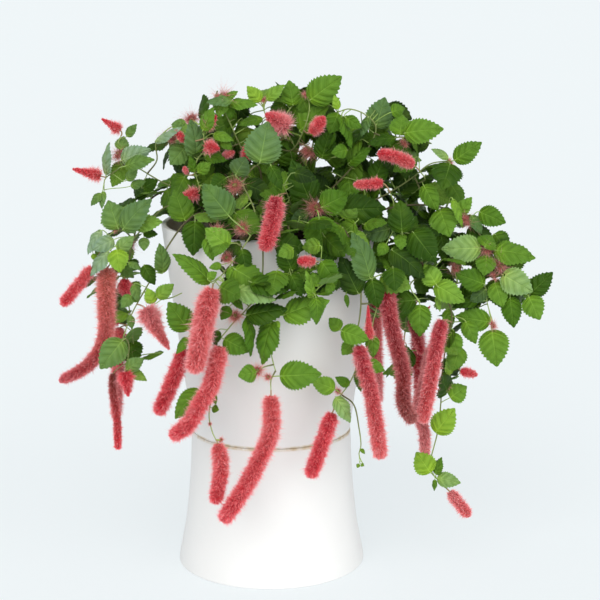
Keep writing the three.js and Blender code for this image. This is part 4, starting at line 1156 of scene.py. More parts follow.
# The shortest leaf that each pattern is for
leafPatterns = (
    (26, leafPattern(13, (0.1, 0.3, 0.52, 0.76, 1))),
    (19, leafPattern(12, (0.1, 0.3, 0.52, 0.76, 1))),
    (13, leafPattern(10, (0.12, 0.42, 0.72, 1))),
    (0, leafPattern(8, (0.16, 0.6, 1))),
)
plainPattern = leafPattern(9, (0.45, 1))
# grey and silver are painted sheen: paler, bluer tones that stand in for the lamps' reflection on glossy
# leaves
leafTones = {
    "mid": ((0.076, 0.178, 0.009), (0.160, 0.312, 0.026)),
    "soft": ((0.105, 0.200, 0.034), (0.190, 0.320, 0.074)),
    "light": ((0.190, 0.355, 0.030), (0.265, 0.450, 0.060)),
    "lime": ((0.265, 0.450, 0.032), (0.320, 0.520, 0.050)),
    "pale": ((0.240, 0.380, 0.090), (0.300, 0.450, 0.130)),
    "silver": ((0.260, 0.370, 0.180), (0.320, 0.450, 0.240)),
    "grey": ((0.100, 0.190, 0.044), (0.142, 0.248, 0.070)),
    "dusk": ((0.058, 0.112, 0.026), (0.088, 0.155, 0.044)),
    "dark": ((0.024, 0.068, 0.002), (0.046, 0.115, 0.005)),
    "deep": ((0.016, 0.045, 0.003), (0.028, 0.070, 0.005)),
}


def leafTone(name, chance):
    return between(np.array(leafTones[name]), chance)


# The tones of a list take turns.
def takingTurns(names, index):
    return names[index % len(names)]


def leafOf(index, root, base, tip, normal, width):
    return {
        "root": root,
        "base": base,
        "tip": tip,
        "normal": normal,
        "width": width,
        "arch": between(leafSettings["arch"], (index * golden) % 1),
        "fold": between(leafSettings["fold"], (index * golden * golden) % 1),
    }


# A traced leaf as the solids have it: its length follows from its width, so a leaf that looks
# short leans towards or away from the viewer.
def tracedLeaf(spot, row, index, shift, scale):
    x, y, tipX, tipY, wide = row[:5]
    nearer = row[5] if len(row) > 5 else 0
    near = spot[2] + leafSettings["lift"] + nearer + shift
    base = placeOf((x, y, near))
    perPixel = pixelSize(base)
    apparentLength = math.hypot(tipX - x, tipY - y) * perPixel
    apparentWidth = wide * perPixel
    natural = apparentWidth / leafSettings["aspect"]
    hidden = math.sqrt(max(0, natural ** 2 - apparentLength ** 2))
    lean = (1 if tipY > y - 4 else -1) * hidden * leafSettings["leanShare"]
    tip = placeOf((tipX, tipY, near + lean))
    root = placeOf(spot)
    along = unit(tip - base)
    if np.linalg.norm(base - root) < leafSettings["shortestPetiole"]:
        base = root + along * leafSettings["shortestPetiole"]
    length = max(natural, apparentLength)
    width = max(apparentWidth, length * leafSettings["aspect"] * leafSettings["slimmest"])
    turn = math.acos(min(1, apparentWidth / width))
    facing = squareTo(along, eye - base)
    across = np.cross(along, facing)
    normal = facing * math.cos(turn) + across * math.sin(turn if across[2] > 0 else -turn)
    return leafOf(index, root, base, base + (tip - base) * scale, normal, width * scale)


def addBlade(sheaf, leaf, tone, index, plain=False):
    along = leaf["tip"] - leaf["base"]
    length = np.linalg.norm(along)
    along = along / length
    side = np.cross(along, leaf["normal"])
    pattern = plainPattern if plain else next(pattern for least, pattern in leafPatterns if length >= least)
    phase, v, t, share, across, relief, wave = pattern["points"].T
    x = across * leaf["width"] / 2
    grown = length / leafSettings["usual"]
    rise = leaf["arch"] * length * 4 * share * (1 - share) - leaf["fold"] * np.abs(x)
    rise = rise + relief * grown + wave * leafSettings["edgeWave"] * grown * math.sin(index * 2.4)
    points = leaf["base"] + along * (share * length)[:, None] + side * x[:, None]
    points = points + leaf["normal"] * rise[:, None]
    parts = (pattern["quadParts"], pattern["threeParts"])
    sheaf.add(points, pattern["quads"], pattern["threes"], parts, np.stack([phase, v, t], axis=1), tone)
    addPetiole(sheaf, leaf, along, length, tone, plain)


stemTones = {
    "young": np.array((0.33, 0.46, 0.13)),
    "old": np.array((0.078, 0.060, 0.030)),
    "blush": np.array((0.36, 0.24, 0.12)),
}
petioleSettings = {
    "radius": 0.46,
    "ends": (1.15, 0.95, 0.5),         # at the stem, along it and under the leaf
    "thinness": (0.45, 45),
    "curve": 0.35,
    "sag": 0.05,
    "under": (0.05, 0.35),             # how far it runs on below the leaf, along and down
    "shares": (0.65, 0.5),             # of the young stem's tone and of the leaf's
}


def addPetiole(sheaf, leaf, along, length, tone, plain):
    root, base = leaf["root"], leaf["base"]
    reach = np.linalg.norm(base - root)
    steps, sides = (5, 4) if plain else (8, 6)
    curve = petioleSettings["curve"]
    t = np.linspace(0, 1, steps)[:, None]
    away = root + (base - root) * curve + upright(petioleSettings["sag"] * reach)
    near = base - along * curve * reach
    line = (1 - t) ** 3 * root + 3 * (1 - t) ** 2 * t * away + 3 * (1 - t) * t * t * near + t ** 3 * base
    runOn, below = petioleSettings["under"]
    line = np.concatenate([line, [base + along * length * runOn - leaf["normal"] * below]])
    least, full = petioleSettings["thinness"]
    first, middle, last = petioleSettings["ends"]
    radii = np.concatenate([[first], np.full(steps - 1, middle), [last]])
    radii = petioleSettings["radius"] * min(1, least + length / full) * radii
    stemShare, leafShare = petioleSettings["shares"]
    tones = stemTones["young"] * stemShare + tone * leafShare
    sheaf.addTube(tubeShape(line, radii, sides), stemPart, tones)


hairForm = {
    "middle": 0.55,
    "middleSag": 0.25,
    "middleWidth": 0.9,
}


# Hairs are flat and narrow to a point. ways are unit directions, sags move the ends. The bent
# ones have a middle, the straight ones are one triangle.
def addHairs(sheaf, roots, ways, sags, lengths, width, chances, fringes, tones, bentShare):
    count = len(roots)
    sides = units(np.cross(ways, dice.normal(size=(count, 3))))
    half = sides * width[:, None] / 2
    middleShare, middleWidth = hairForm["middle"], hairForm["middleWidth"]
    middle = roots + ways * lengths[:, None] * middleShare + sags * lengths[:, None] * hairForm["middleSag"]
    ends = roots + (ways + sags) * lengths[:, None]
    bent = dice.random(count) < bentShare

    def add(points, heights, chosen, quad, three):
        total = int(chosen.sum())
        if not total:
            return
        corners = np.stack(points, axis=1)[chosen]
        spread = np.ones((total, len(heights)))
        places = [spread * heights, spread * chances[chosen, None], spread * fringes[chosen, None]]
        first = np.arange(total)[:, None] * len(heights)
        sheaf.add(
            corners.reshape(-1, 3),
            first + quad if quad else [],
            first + three,
            bristlePart,
            np.stack(places, axis=2).reshape(-1, 3),
            np.repeat(tones[chosen], len(heights), axis=0),
        )

    low, high = roots - half, roots + half
    bentPoints = (low, high, middle - half * middleWidth, middle + half * middleWidth, ends)
    add(bentPoints, [0, 0, middleShare, middleShare, 1], bent, [0, 1, 3, 2], [2, 3, 4])
    add((low, high, ends), [0, 0, 1], ~bent, None, [0, 1, 2])


# Catkins

catkinSettings = {
    "stretch": 0.95,
    "step": 1.2,
    "coreShare": 0.6,
    "coreSides": 12,
    "coreShade": 0.85,
    "rootShare": 0.552,                # the hairs start inside the core
    "frontDensity": 6.2,               # hairs on a square millimetre
    "backDensity": 2.6,
    "hairWidth": (0.255, 0.48),        # of a short one and of a long one
    "bentShare": 0.3,
    "reach": (0.90, 1.36),
    "stray": 0.28,
    "shortest": 0.8,
    "youngTaper": 0.45,                # a young one has its fringe round the stalk end
    "youngReach": (1.45, 0.95),
    "tuft": 1.7,                       # millimetres across a tuft of hairs
    "tuftHeight": 1.25,
    "gather": 0.3,
    "tilt": 0.14,
    "scatter": 0.2,
    "forward": 0.15,                   # hairs lean towards the tip
    "tipLean": (1.5, 0.86, 0.14),      # more so near the tip: how much, from where, over what span
    "baseLean": (0.9, 0.08, 0.08),     # and back round the stalk
    "stalkEnds": ((0.58, 0.6), (0.62, 0.7)),   # share of the radius and how it grows, then the young
    "tipEnd": (0.35, 1.1),
    "light": (0.66, 0.42, 0.32),       # of a hair, and what its tuft and its chance add
    "stalkRadius": 0.55,
    "stalkSides": 6,
    "knee": 3,
}
catkinTones = {
    "crimson": (0.90, 0.048, 0.088),
    "coral": (0.93, 0.17, 0.17),
    "pink": (0.95, 0.38, 0.38),
    "deep": (0.60, 0.030, 0.065),
    "brown": (0.26, 0.060, 0.032),
    "dusty": (0.92, 0.36, 0.26),
}
# How pink the ends of the hairs are
fringeOf = {"crimson": 0.8, "coral": 1, "pink": 1.1, "deep": 0.8, "brown": 0.5, "dusty": 0.8}


def catkinRadius(radius, total, taper, shares):
    blunt, swell = catkinSettings["stalkEnds"][taper >= catkinSettings["youngTaper"]]
    tip, rise = catkinSettings["tipEnd"]
    start = np.minimum(1, blunt + swell * shares * total / radius)
    finish = np.minimum(1, tip + rise * (1 - shares) * total / radius)
    return radius * start * finish * (1 - taper * shares)


def addCatkin(sheaf, start, route, radius, taper, toneNames, density):
    form = catkinSettings
    line = evenly(splineThrough(route), form["step"])
    total = lengthsAlong(line)[-1]
    outer = catkinRadius(radius, total, taper, np.linspace(0, 1, len(line)))
    first, last = (np.array(catkinTones[name]) for name in toneNames)
    tube = tubeShape(line, outer * form["coreShare"], form["coreSides"])
    coreTones = between((first, last), tube[3][:, None]) * form["coreShade"]
    sheaf.addTube(tube, corePart, coreTones)

    # The hairs wind round the core, and lean together in tufts.
    count = int(density * total * circle * radius * (1 - taper / 2))
    steps = np.arange(count)
    shares = (steps + dice.random(count)) / count
    turns = (steps * golden + dice.random(count) * 0.04) % 1
    ways, rights, ups = framesAlong(line)
    spots = shares * (len(line) - 1)

    def here(values):
        low = np.minimum(spots.astype(int), len(line) - 2)
        part = (spots - low)[:, None]
        return values[low] * (1 - part) + values[low + 1] * part

    around = max(6, round(circle * radius / form["tuft"]))
    lengthwise = max(3, round(total / form["tuft"]))
    row = np.minimum((shares * lengthwise).astype(int), lengthwise - 1)
    shifted = (row % 2) * 0.5          # every other row of tufts
    cell = ((turns * around + shifted) % around).astype(int)
    tuftLean = dice.normal(size=(lengthwise, around, 3))[row, cell] * form["tilt"]
    tuftReach = dice.random((lengthwise, around))[row, cell]
    tuftLight = dice.random((lengthwise, around))[row, cell]

    def outwards(turn):
        angles = turn * circle
        return here(rights) * np.cos(angles)[:, None] + here(ups) * np.sin(angles)[:, None]

    sizes = catkinRadius(radius, total, taper, shares)
    radial = outwards(turns)
    roots = here(line) + radial * (sizes * form["rootShare"])[:, None]
    ahead = ((row + 0.5) / lengthwise - shares) * total
    height = (sizes * form["tuftHeight"])[:, None]
    tufts = here(line) + here(ways) * ahead[:, None] + outwards((cell + 0.5 - shifted) / around) * height
    tipLean, tipFrom, tipSpan = form["tipLean"]
    baseLean, baseTo, baseSpan = form["baseLean"]
    forward = form["forward"] + tipLean * ramp(shares, tipFrom, tipSpan)
    forward = forward - baseLean * np.clip((baseTo - shares) / baseSpan, 0, 1)
    headings = between((radial, units(tufts - roots)), form["gather"])
    headings = headings + here(ways) * forward[:, None] + tuftLean
    headings = units(headings + dice.normal(size=(count, 3)) * form["scatter"])
    chances = dice.random(count)
    long = ramp(chances, 0.6, 0.4)
    reach = between(form["reach"], 0.75 * long + 0.25 * tuftReach)
    reach = reach + form["stray"] * ramp(dice.random(count), 0.8, 0.2)
    if taper >= form["youngTaper"]:
        reach = reach * between(form["youngReach"], np.minimum(1, shares * 1.5))
    lengths = np.maximum(sizes * (reach - form["rootShare"]), form["shortest"])
    sags = tuftLean * 0.5 + dice.normal(size=(count, 3)) * form["scatter"]
    plain, byTuft, byChance = form["light"]
    light = plain + byTuft * tuftLight + byChance * chances
    tones = np.clip(between((first, last), shares[:, None]) * light[:, None], 0.01, 0.95)
    width = between(form["hairWidth"], long)
    fringes = between([fringeOf[name] for name in toneNames], shares)
    bentShare = form["bentShare"]
    addHairs(sheaf, roots, headings, sags, lengths, width, chances, fringes, tones, bentShare)
    addStalk(sheaf, start, line)


def addStalk(sheaf, start, line):
    heading = unit(line[1] - line[0])
    knee = line[0] - heading * catkinSettings["knee"]
    route = curved(start, knee, line[0] + heading, 9)
    tube = tubeShape(route, catkinSettings["stalkRadius"], catkinSettings["stalkSides"])
    sheaf.addTube(tube, stemPart, stemTones["blush"])


# Young heads: a greenish core that many pale threads leave.
headSettings = {
    "coreShare": 0.40,
    "coreRings": 7,
    "coreSides": 9,
    "core": (0.20, 0.27, 0.06),
    "rise": 90,
    "flatness": 0.6,
    "threads": 560,
    "growth": (6, 0.3, 1.3),           # the radius over the first, plus the second, up to the third
    "scatter": 0.18,
    "lengths": (0.42, 0.92),           # of the radius
    "sag": 0.8,
    "width": 0.18,
    "bentShare": 0.6,
    "fringe": 0.7,
    "tones": ((0.46, 0.15, 0.10), (0.84, 0.42, 0.34)),
    "stalk": (0.7, 6),                 # radius and sides
}


def addHead(sheaf, centre, radius, start):
    form = headSettings
    core = radius * form["coreShare"]
    rings = np.linspace(-1, 1, form["coreRings"])
    line = centre + np.outer(rings * core, unit(centre - start + upright(1e-3)))
    thickness = core * np.sqrt(np.maximum(0.06, 1 - rings ** 2))
    sheaf.addTube(tubeShape(line, thickness, form["coreSides"]), corePart, form["core"])
    usual, least, most = form["growth"]
    count = int(form["threads"] * min(most, radius / usual + least))
    steps = np.arange(count) + 0.5
    heights = 1 - 2 * steps / count
    angles = steps * golden * circle
    flat = np.sqrt(1 - heights ** 2)
    ways = np.stack([flat * np.cos(angles), flat * np.sin(angles), heights], axis=1)
    ways = ways + dice.normal(size=(count, 3)) * form["scatter"]
    facing = unit(centre * (1, 1, 0) + upright(form["rise"]))
    ways = units(ways - np.outer(ways @ facing, facing) * form["flatness"])
    chances = dice.random(count)
    lengths = radius * between(form["lengths"], chances)
    sags = dice.normal(size=(count, 3)) * form["sag"]
    tones = between(np.array(form["tones"]), dice.random(count)[:, None])
    width = np.full(count, form["width"])
    roots = centre + ways * core * 0.9
    fringes = chances * form["fringe"]
    addHairs(sheaf, roots, ways, sags, lengths, width, chances, fringes, tones, form["bentShare"])
    if np.linalg.norm(centre - start) > core:
        tube = tubeShape(np.linspace(start, centre, 6), *form["stalk"])
        sheaf.addTube(tube, stemPart, stemTones["young"])


# Stems

stemSettings = {
    "soilHeight": 252,
    "depth": 11.65,
    "collar": 3,
    "radii": (0.85, 0.42),
    "branchRadii": (0.6, 0.36),
    "knots": 0.1,
    "knotStep": 17,
    "knotAt": 3,
    "knotWidth": 1.3,
    "step": 2.5,
    "sides": 9,
    "greens": (-0.4, 0.75),
    "branchGreens": (0.1, 0.95),
    "perSpan": 8,                      # places that a leaf may grow from, from one trace to the next
    "backward": 1.6,                   # times the distance, less 1 where it lies straight behind
    "crowded": 12,                     # added where another leaf grows
}


def traceStems(shoot):
    traces = []
    for stem in shoot["stems"]:
        start = [nearestOn(traces, *stem[0][:2])] if traces else []
        traces.append(np.array([*start, *stem], float))
    return traces


# The place on the stems that a leaf, a head or a stalk at (x, y) grows from. A leaf rather grows
# out of a place behind it, and not where another one does.
def nearestOn(traces, x, y, toward=None, taken=()):
    perSpan = stemSettings["perSpan"]
    spots = np.array([
        trace[i] + (trace[i + 1] - trace[i]) * k / perSpan
        for trace in traces
        for i in range(len(trace) - 1)
        for k in range(1, perSpan)
    ])
    offsets = np.array([x, y]) - spots[:, :2]
    distances = np.hypot(offsets[:, 0], offsets[:, 1]) + 1e-6
    facing = 1 if toward is None else offsets @ np.array(toward) / distances
    crowded = np.zeros(len(spots))
    for other in taken:
        crowded[np.hypot(*(spots[:, :2] - other[:2]).T) < leafSettings["spacing"]] = stemSettings["crowded"]
    return spots[np.argmin(distances * (stemSettings["backward"] - facing) + crowded)]


def addStem(sheaf, route, radii, greens):
    line = evenly(splineThrough(route, 6), stemSettings["step"])
    along = lengthsAlong(line)
    fromKnot = (along % stemSettings["knotStep"]) - stemSettings["knotAt"]
    knots = 1 + stemSettings["knots"] * np.exp(-(fromKnot / stemSettings["knotWidth"]) ** 2)
    tube = tubeShape(line, between(radii, along / along[-1]) * knots, stemSettings["sides"])
    green = np.clip(between(greens, tube[3]), 0, 1)[:, None]
    sheaf.addTube(tube, stemPart, between((stemTones["old"], stemTones["young"]), green))
    return line


def addStems(sheaf, root, lines):
    x, near = root
    top = stemSettings["soilHeight"]
    foot = np.array([x, -near, top - stemSettings["depth"]])
    collar = np.array([x, -near, top + stemSettings["collar"]])
    route = np.array([foot, collar, *lines[0]])
    main = addStem(sheaf, route, stemSettings["radii"], stemSettings["greens"])
    branch = stemSettings["branchRadii"], stemSettings["branchGreens"]
    return np.concatenate([main, *(addStem(sheaf, line, *branch) for line in lines[1:])])


def closest(points, place):
    return points[np.argmin(np.linalg.norm(points - place, axis=1))]


def cornersOf(name):
    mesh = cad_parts[name].data
    corners = np.empty(len(mesh.vertices) * 3, np.float32)
    mesh.vertices.foreach_get("co", corners)
    return corners.reshape(-1, 3) / metre


# The solid leaf took one of these tries, and its tip tells which one.
def chosenLeaf(corners, makeTry):
    tries = [makeTry(shift, scale) for scale in leafSettings["scales"] for shift in leafSettings["shifts"]]
    gaps = [np.linalg.norm(corners - leaf["tip"], axis=1).min() for leaf in tries]
    best = int(np.argmin(gaps))
    found = gaps[best] <= leafSettings["sameTip"]
    return tries[best if found else 0], found


# Leaves that the solids have are numbered from 1, the others after firstLoose.
firstLoose = 1000
leafCount = 0
looseIndex = firstLoose
missed = []
for shoot in frontShoots:
    name = shoot["name"]
    sheaf = Sheaf(name + "_foliage")
    traces = traceStems(shoot)
    lines = [np.array([placeOf(spot) for spot in trace]) for trace in traces]
    stemPoints = addStems(sheaf, shoot["root"], lines)
    corners = cornersOf(name)
    for size, heads in ((1, "heads"), (0.9, "smallHeads")):
        for x, y, radius, *nearer in shoot.get(heads, ()):
            spot = nearestOn(traces, x, y)
            centre = placeOf((x, y, spot[2] + sum(nearer)))
            start = closest(stemPoints, placeOf(spot))
            addHead(sheaf, centre, radius * pixelSize(centre) * size, start)
    taken = []
    solidLeaves = shoot.get("leaves", [])
    for place, row in enumerate(solidLeaves + shoot.get("smallLeaves", [])):
        x, y, tipX, tipY = row[:4]
        long = math.hypot(tipX - x, tipY - y)
        spot = nearestOn(traces, x, y, ((tipX - x) / long, (tipY - y) / long), taken)
        taken.append(spot)
        if place < len(solidLeaves):
            leafCount += 1
            index = leafCount
            leaf, found = chosenLeaf(corners, lambda *step: tracedLeaf(spot, row, index, *step))
            if not found:
                missed.append((name, row))
        else:
            looseIndex += 1
            index = looseIndex
            leaf = tracedLeaf(spot, row, index, 0, 1)
        leaf["root"] = closest(stemPoints, leaf["root"])
        tone = row[6] if len(row) > 6 else shoot.get("tone", "mid")
        addBlade(sheaf, leaf, leafTone(tone, (index * golden * 5) % 1), index)
    shoot["sheaf"], shoot["traces"], shoot["points"] = sheaf, traces, stemPoints
print("front shoots", leafCount, "leaves", looseIndex - firstLoose, "small", "missed", missed)

shootByName = {shoot["name"]: shoot for shoot in frontShoots}
catkinCount = 0


def catkinPiece(start, route, radius, taper, tones, density):
    global catkinCount
    catkinCount += 1
    node = f"catkin_{catkinCount:02d}"
    sheaf = Sheaf(node + "_bristles")
    addCatkin(sheaf, start, route, radius, taper, tones, density)
    settle(sheaf.make(plantMaterials), node)


# A small catkin stays part of its shoot.
for rows, alone in ((frontCatkins, True), (smallCatkins, False)):
    for name, pixels, taper, stalkTone, tipTone, traced in rows:
        shoot = shootByName[name]
        route = np.array([placeOf(spot) for spot in traced])
        start = closest(shoot["points"], placeOf(nearestOn(shoot["traces"], *traced[0][:2])))
        radius = pixels * catkinSettings["stretch"] * pixelSize(route[0])
        catkin = (start, route, radius, taper, (stalkTone, tipTone), catkinSettings["frontDensity"])
        if alone:
            catkinPiece(*catkin)
        else:
            addCatkin(shoot["sheaf"], *catkin)
print("front catkins", catkinCount)


# Smaller leaves behind the traced ones fill the crown. Each grows from the nearest stem, and its
# base and its tip stay inside the outline of its patch, in pixels. behind is how far behind the stem.
undergrowth = {
    "tries": 1500,
    "reach": 26,
    "length": (15, 27),
    "potRadius": 87,
    "potTop": 272,
    "offPot": 9,
    "facing": (0, -0.8, 0.7),
    "tones": ("mid", "dark", "mid", "deep", "light", "mid", "dark", "mid"),
    "shade": 0.8,
}
crownPatch = {
    "outline": (
        (150, 190), (172, 186), (172, 152), (192, 134), (216, 116), (232, 100), (262, 92), (300, 86),
        (338, 84), (344, 112), (358, 122), (376, 120), (386, 102), (402, 112), (424, 122), (436, 132),
        (436, 142), (422, 146), (430, 160), (446, 170), (454, 186), (464, 208), (486, 222), (500, 236),
        (528, 262), (540, 290), (520, 315), (490, 305), (452, 312), (396, 300), (352, 262), (330, 244),
        (300, 240), (246, 240), (196, 226), (146, 214),
    ),
    "behind": (2, 26),
    "spacing": 8.3,
}
lowPatch = {
    "outline": (
        (216, 238), (246, 240), (248, 280), (272, 284), (276, 240), (330, 242), (346, 262), (336, 296),
        (300, 300), (262, 300), (236, 302), (210, 284),
    ),
    "behind": (-9, 6),
    "spacing": 14,
}
sidePatch = {
    "outline": ((436, 312), (466, 318), (468, 350), (458, 396), (440, 396)),
    "behind": (-4, 10),
    "spacing": 13,
}


def insideOutline(x, y, outline):
    inside = False
    for (ax, ay), (bx, by) in zip(outline, outline[1:] + outline[:1]):
        if (ay > y) != (by > y) and x < ax + (bx - ax) * (y - ay) / (by - ay):
            inside = not inside
    return inside


fillerSettings = {
    "scatter": 4,                      # of the way out from the stem
    "outward": 0.6,
    "droop": 0.45,
    "tilt": 0.45,
    "turn": 0.4,
    "widths": (0.85, 1.05),
}


def scattered(way, amount):
    return unit(way + dice.normal(size=3) * amount)


def fillerLeaf(start, base, index, length, facing):
    away = scattered(base - start, fillerSettings["scatter"])
    along = away * fillerSettings["outward"] - upright(fillerSettings["droop"])
    along = scattered(along, fillerSettings["tilt"])
    normal = squareTo(along, scattered(np.array(facing), fillerSettings["turn"]))
    width = length * leafSettings["aspect"] * between(fillerSettings["widths"], dice.random())
    return leafOf(index, start, base, base + along * length, normal, width)


def addFiller(sheaf, leaf, tones, shade=1):
    tone = leafTone(takingTurns(tones, looseIndex), dice.random())
    addBlade(sheaf, leaf, tone * shade, looseIndex, plain=True)


def addUndergrowth(patch):
    global looseIndex
    taken = []
    outline = patch["outline"]
    low, high = np.min(outline, axis=0), np.max(outline, axis=0)
    for _ in range(undergrowth["tries"]):
        x, y = dice.uniform(low, high)
        if not insideOutline(x, y, outline):
            continue
        if any(math.hypot(x - a, y - b) < patch["spacing"] for a, b in taken):
            continue
        spots = [nearestOn(shoot["traces"], x, y) for shoot in frontShoots]
        away = [math.hypot(spot[0] - x, spot[1] - y) for spot in spots]
        best = int(np.argmin(away))
        if away[best] > undergrowth["reach"]:
            continue
        shoot = frontShoots[best]
        base = placeOf((x, y, spots[best][2] - between(patch["behind"], dice.random())))
        radius = undergrowth["potRadius"]
        if base[2] < undergrowth["potTop"] and math.hypot(*base[:2]) < radius:
            wall = math.sqrt(radius ** 2 - base[0] ** 2)
            base = placeOf((x, y, wall + undergrowth["offPot"] * dice.random()))
        start = closest(shoot["points"], placeOf(spots[best]))
        length = between(undergrowth["length"], dice.random())
        leaf = fillerLeaf(start, base, looseIndex + 1, length, undergrowth["facing"])
        if not insideOutline(*pixelOf(leaf["tip"]), outline):
            continue
        taken.append((x, y))
        looseIndex += 1
        addFiller(shoot["sheaf"], leaf, undergrowth["tones"], undergrowth["shade"])
    return len(taken)


# Low leaves hide the soil.
coverSettings = {
    "tries": 260,
    "radius": 54,
    "spacing": 9,
    "heights": (268, 292),
    "length": (16, 26),
    "tones": ("mid", "dark", "light", "mid"),
}


def addCover():
    global looseIndex
    taken = []
    for _ in range(coverSettings["tries"]):
        radius = coverSettings["radius"] * math.sqrt(dice.random())
        bearing = dice.random() * circle
        height = between(coverSettings["heights"], dice.random())
        base = np.array([radius * math.cos(bearing), radius * math.sin(bearing), height])
        if any(np.linalg.norm((base - other)[:2]) < coverSettings["spacing"] for other in taken):
            continue
        taken.append(base)
        looseIndex += 1
        starts = [closest(shoot["points"], base) for shoot in frontShoots]
        best = int(np.argmin([np.linalg.norm(start - base) for start in starts]))
        length = between(coverSettings["length"], dice.random())
        leaf = fillerLeaf(starts[best], base, looseIndex, length, (0, 0, 1))
        addFiller(frontShoots[best]["sheaf"], leaf, coverSettings["tones"])
    return len(taken)


dice = np.random.default_rng(31)       # so that the catkins don't change what grows here
print("undergrowth", [addUndergrowth(patch) for patch in (crownPatch, lowPatch, sidePatch)])
print("cover", addCover())
for shoot in frontShoots:
    settle(shoot["sheaf"].make(plantMaterials), shoot["name"])


# Back shoots. over is (radius, rise above the rim, share of the drop, share of the swing), crown is
# (radius, share of the height, share of the swing).
backSettings = {
    "bearings": (14, 50, 88, 124, 162),
    "rootRadius": 40,
    "rimHeight": 265,
    "swing": (-0.16, 0.16),
    "hang": (95, 150),
    "crownHeight": (64, 96),
    "over": (
        (54, 13, 0, 0), (74, 22, 0, 0.3), (100, 8, 0, 0.6), (114, 0, 0.35, 1), (112, 0, 0.7, 1),
        (108, 0, 1, 1),
    ),
    "crown": ((50, 0.6, -1), (66, 1, -1.4), (88, 0.92, -1.8)),
    "catkinTones": (("crimson", "coral"), ("deep", "crimson"), ("coral", "pink")),
    "catkinLength": (60, 95),
    "catkinRadius": 6.2,
    "catkinTaper": 0.12,
    "catkinOffset": (10, 15),
}
backLeaves = {
    "first": 18,
    "spacing": 31,
    "length": (25, 34),
    "petiole": (7, 12),
    "outward": (0.75, 0.25),
    "across": 0.95,
    "rise": (0.25, 0.2),
    "drop": 0.75,
    "facing": 0.8,
    "tones": ("mid", "mid", "light", "dark", "mid"),
}
smallBackLeaves = {
    "first": 10,
    "spacing": 5.5,
    "length": (13, 26),
    "reach": (3, 13),
    "outward": 0.7,
    "rise": 0.3,
    "scatter": 0.7,
    "facing": 0.8,
    "tones": ("mid", "dark", "light", "mid", "dark"),
}
backHeads = {
    "at": (0.42, 0.97),
    "radius": (4, 6.5),
    "reach": (8, 16),
    "rise": 0.5,
    "scatter": 0.5,
}
youngCatkins = {
    "at": (0.5, 0.8),
    "stalk": 10,
    "length": (13, 22),
    "radius": 4.2,
    "taper": 0.85,
    "tones": ("coral", "crimson"),
    "rise": 0.3,
    "scatter": 0.4,
}
draws = 0
dice = np.random.default_rng(22)


# An even spread over a pair of limits, as the solids have it
def draw(pair):
    global draws
    draws += 1
    return between(pair, (draws * golden) % 1)


def backLines(bearing):
    drop = draw(backSettings["hang"])
    tall = draw(backSettings["crownHeight"])
    swing = draw(backSettings["swing"])

    def at(radius, height, turn):
        angle = bearing + swing * turn
        return np.array([radius * math.cos(angle), radius * math.sin(angle), height])

    rim, soil = backSettings["rimHeight"], stemSettings["soilHeight"]
    over = [at(radius, rim + rise - drop * down, turn) for radius, rise, down, turn in backSettings["over"]]
    crown = [at(radius, soil + tall * rise, turn) for radius, rise, turn in backSettings["crown"]]
    return [np.array(over), np.array([over[0], *crown])], at(1, 0, 0)


def backLeaf(spot, stemWay, outward, index, shift, scale):
    angle = index * golden * circle
    across = unit(np.cross(stemWay, outward))
    least, more = backLeaves["outward"]
    away = outward * (least + more * math.sin(angle)) + across * backLeaves["across"] * math.cos(angle)
    rise, wave = backLeaves["rise"]
    away = unit(away + upright(rise + wave * math.sin(angle * 2)))
    base = spot + away * between(backLeaves["petiole"], (index * golden) % 1) + outward * shift
    along = unit(away - upright(backLeaves["drop"]))
    length = between(backLeaves["length"], (index * golden * 3) % 1) * scale
    normal = squareTo(along, upright(1) + outward * backLeaves["facing"])
    return leafOf(index, spot, base, base + along * length, normal, length * leafSettings["aspect"])


def addBackLeaves(name, sheaf, line, outward, points, corners):
    global leafCount
    at = backLeaves["first"]
    while at < lengthsAlong(line)[-1]:
        leafCount += 1
        index = leafCount
        before, spot, after = pointsAt(line, np.array([at - 2, at, at + 2]))
        stemWay = unit(after - before)
        leaf, found = chosenLeaf(corners, lambda *step: backLeaf(spot, stemWay, outward, index, *step))
        if not found:
            missed.append((name, at))
        leaf["root"] = closest(points, spot)
        tone = leafTone(takingTurns(backLeaves["tones"], index), (index * golden * 5) % 1)
        addBlade(sheaf, leaf, tone, index)
        at += backLeaves["spacing"]


def addSmallBackLeaves(sheaf, line, outward, points):
    global looseIndex
    outOfStem = outward * smallBackLeaves["outward"]
    for at in np.arange(smallBackLeaves["first"], lengthsAlong(line)[-1], smallBackLeaves["spacing"]):
        looseIndex += 1
        spot = closest(points, pointAt(line, at))
        away = scattered(outOfStem + upright(smallBackLeaves["rise"]), smallBackLeaves["scatter"])
        base = spot + away * between(smallBackLeaves["reach"], dice.random())
        length = between(smallBackLeaves["length"], dice.random())
        facing = outOfStem + upright(smallBackLeaves["facing"])
        leaf = fillerLeaf(spot, base, looseIndex, length, facing)
        addFiller(sheaf, leaf, smallBackLeaves["tones"])


def addBackHeads(sheaf, line, outward, points):
    for share in backHeads["at"]:
        start = closest(points, pointAt(line, share * lengthsAlong(line)[-1]))
        away = scattered(outward + upright(backHeads["rise"]), backHeads["scatter"])
        centre = start + away * between(backHeads["reach"], dice.random())
        addHead(sheaf, centre, between(backHeads["radius"], dice.random()), start)


def addYoungCatkins(sheaf, line, outward, points):
    for share in youngCatkins["at"]:
        start = closest(points, pointAt(line, share * lengthsAlong(line)[-1]))
        away = scattered(outward, youngCatkins["scatter"])
        first = start + away * youngCatkins["stalk"]
        length = between(youngCatkins["length"], dice.random())
        route = np.array([first, first + unit(away + upright(youngCatkins["rise"])) * length])
        radius, taper, tones = youngCatkins["radius"], youngCatkins["taper"], youngCatkins["tones"]
        addCatkin(sheaf, start, route, radius, taper, tones, catkinSettings["backDensity"])


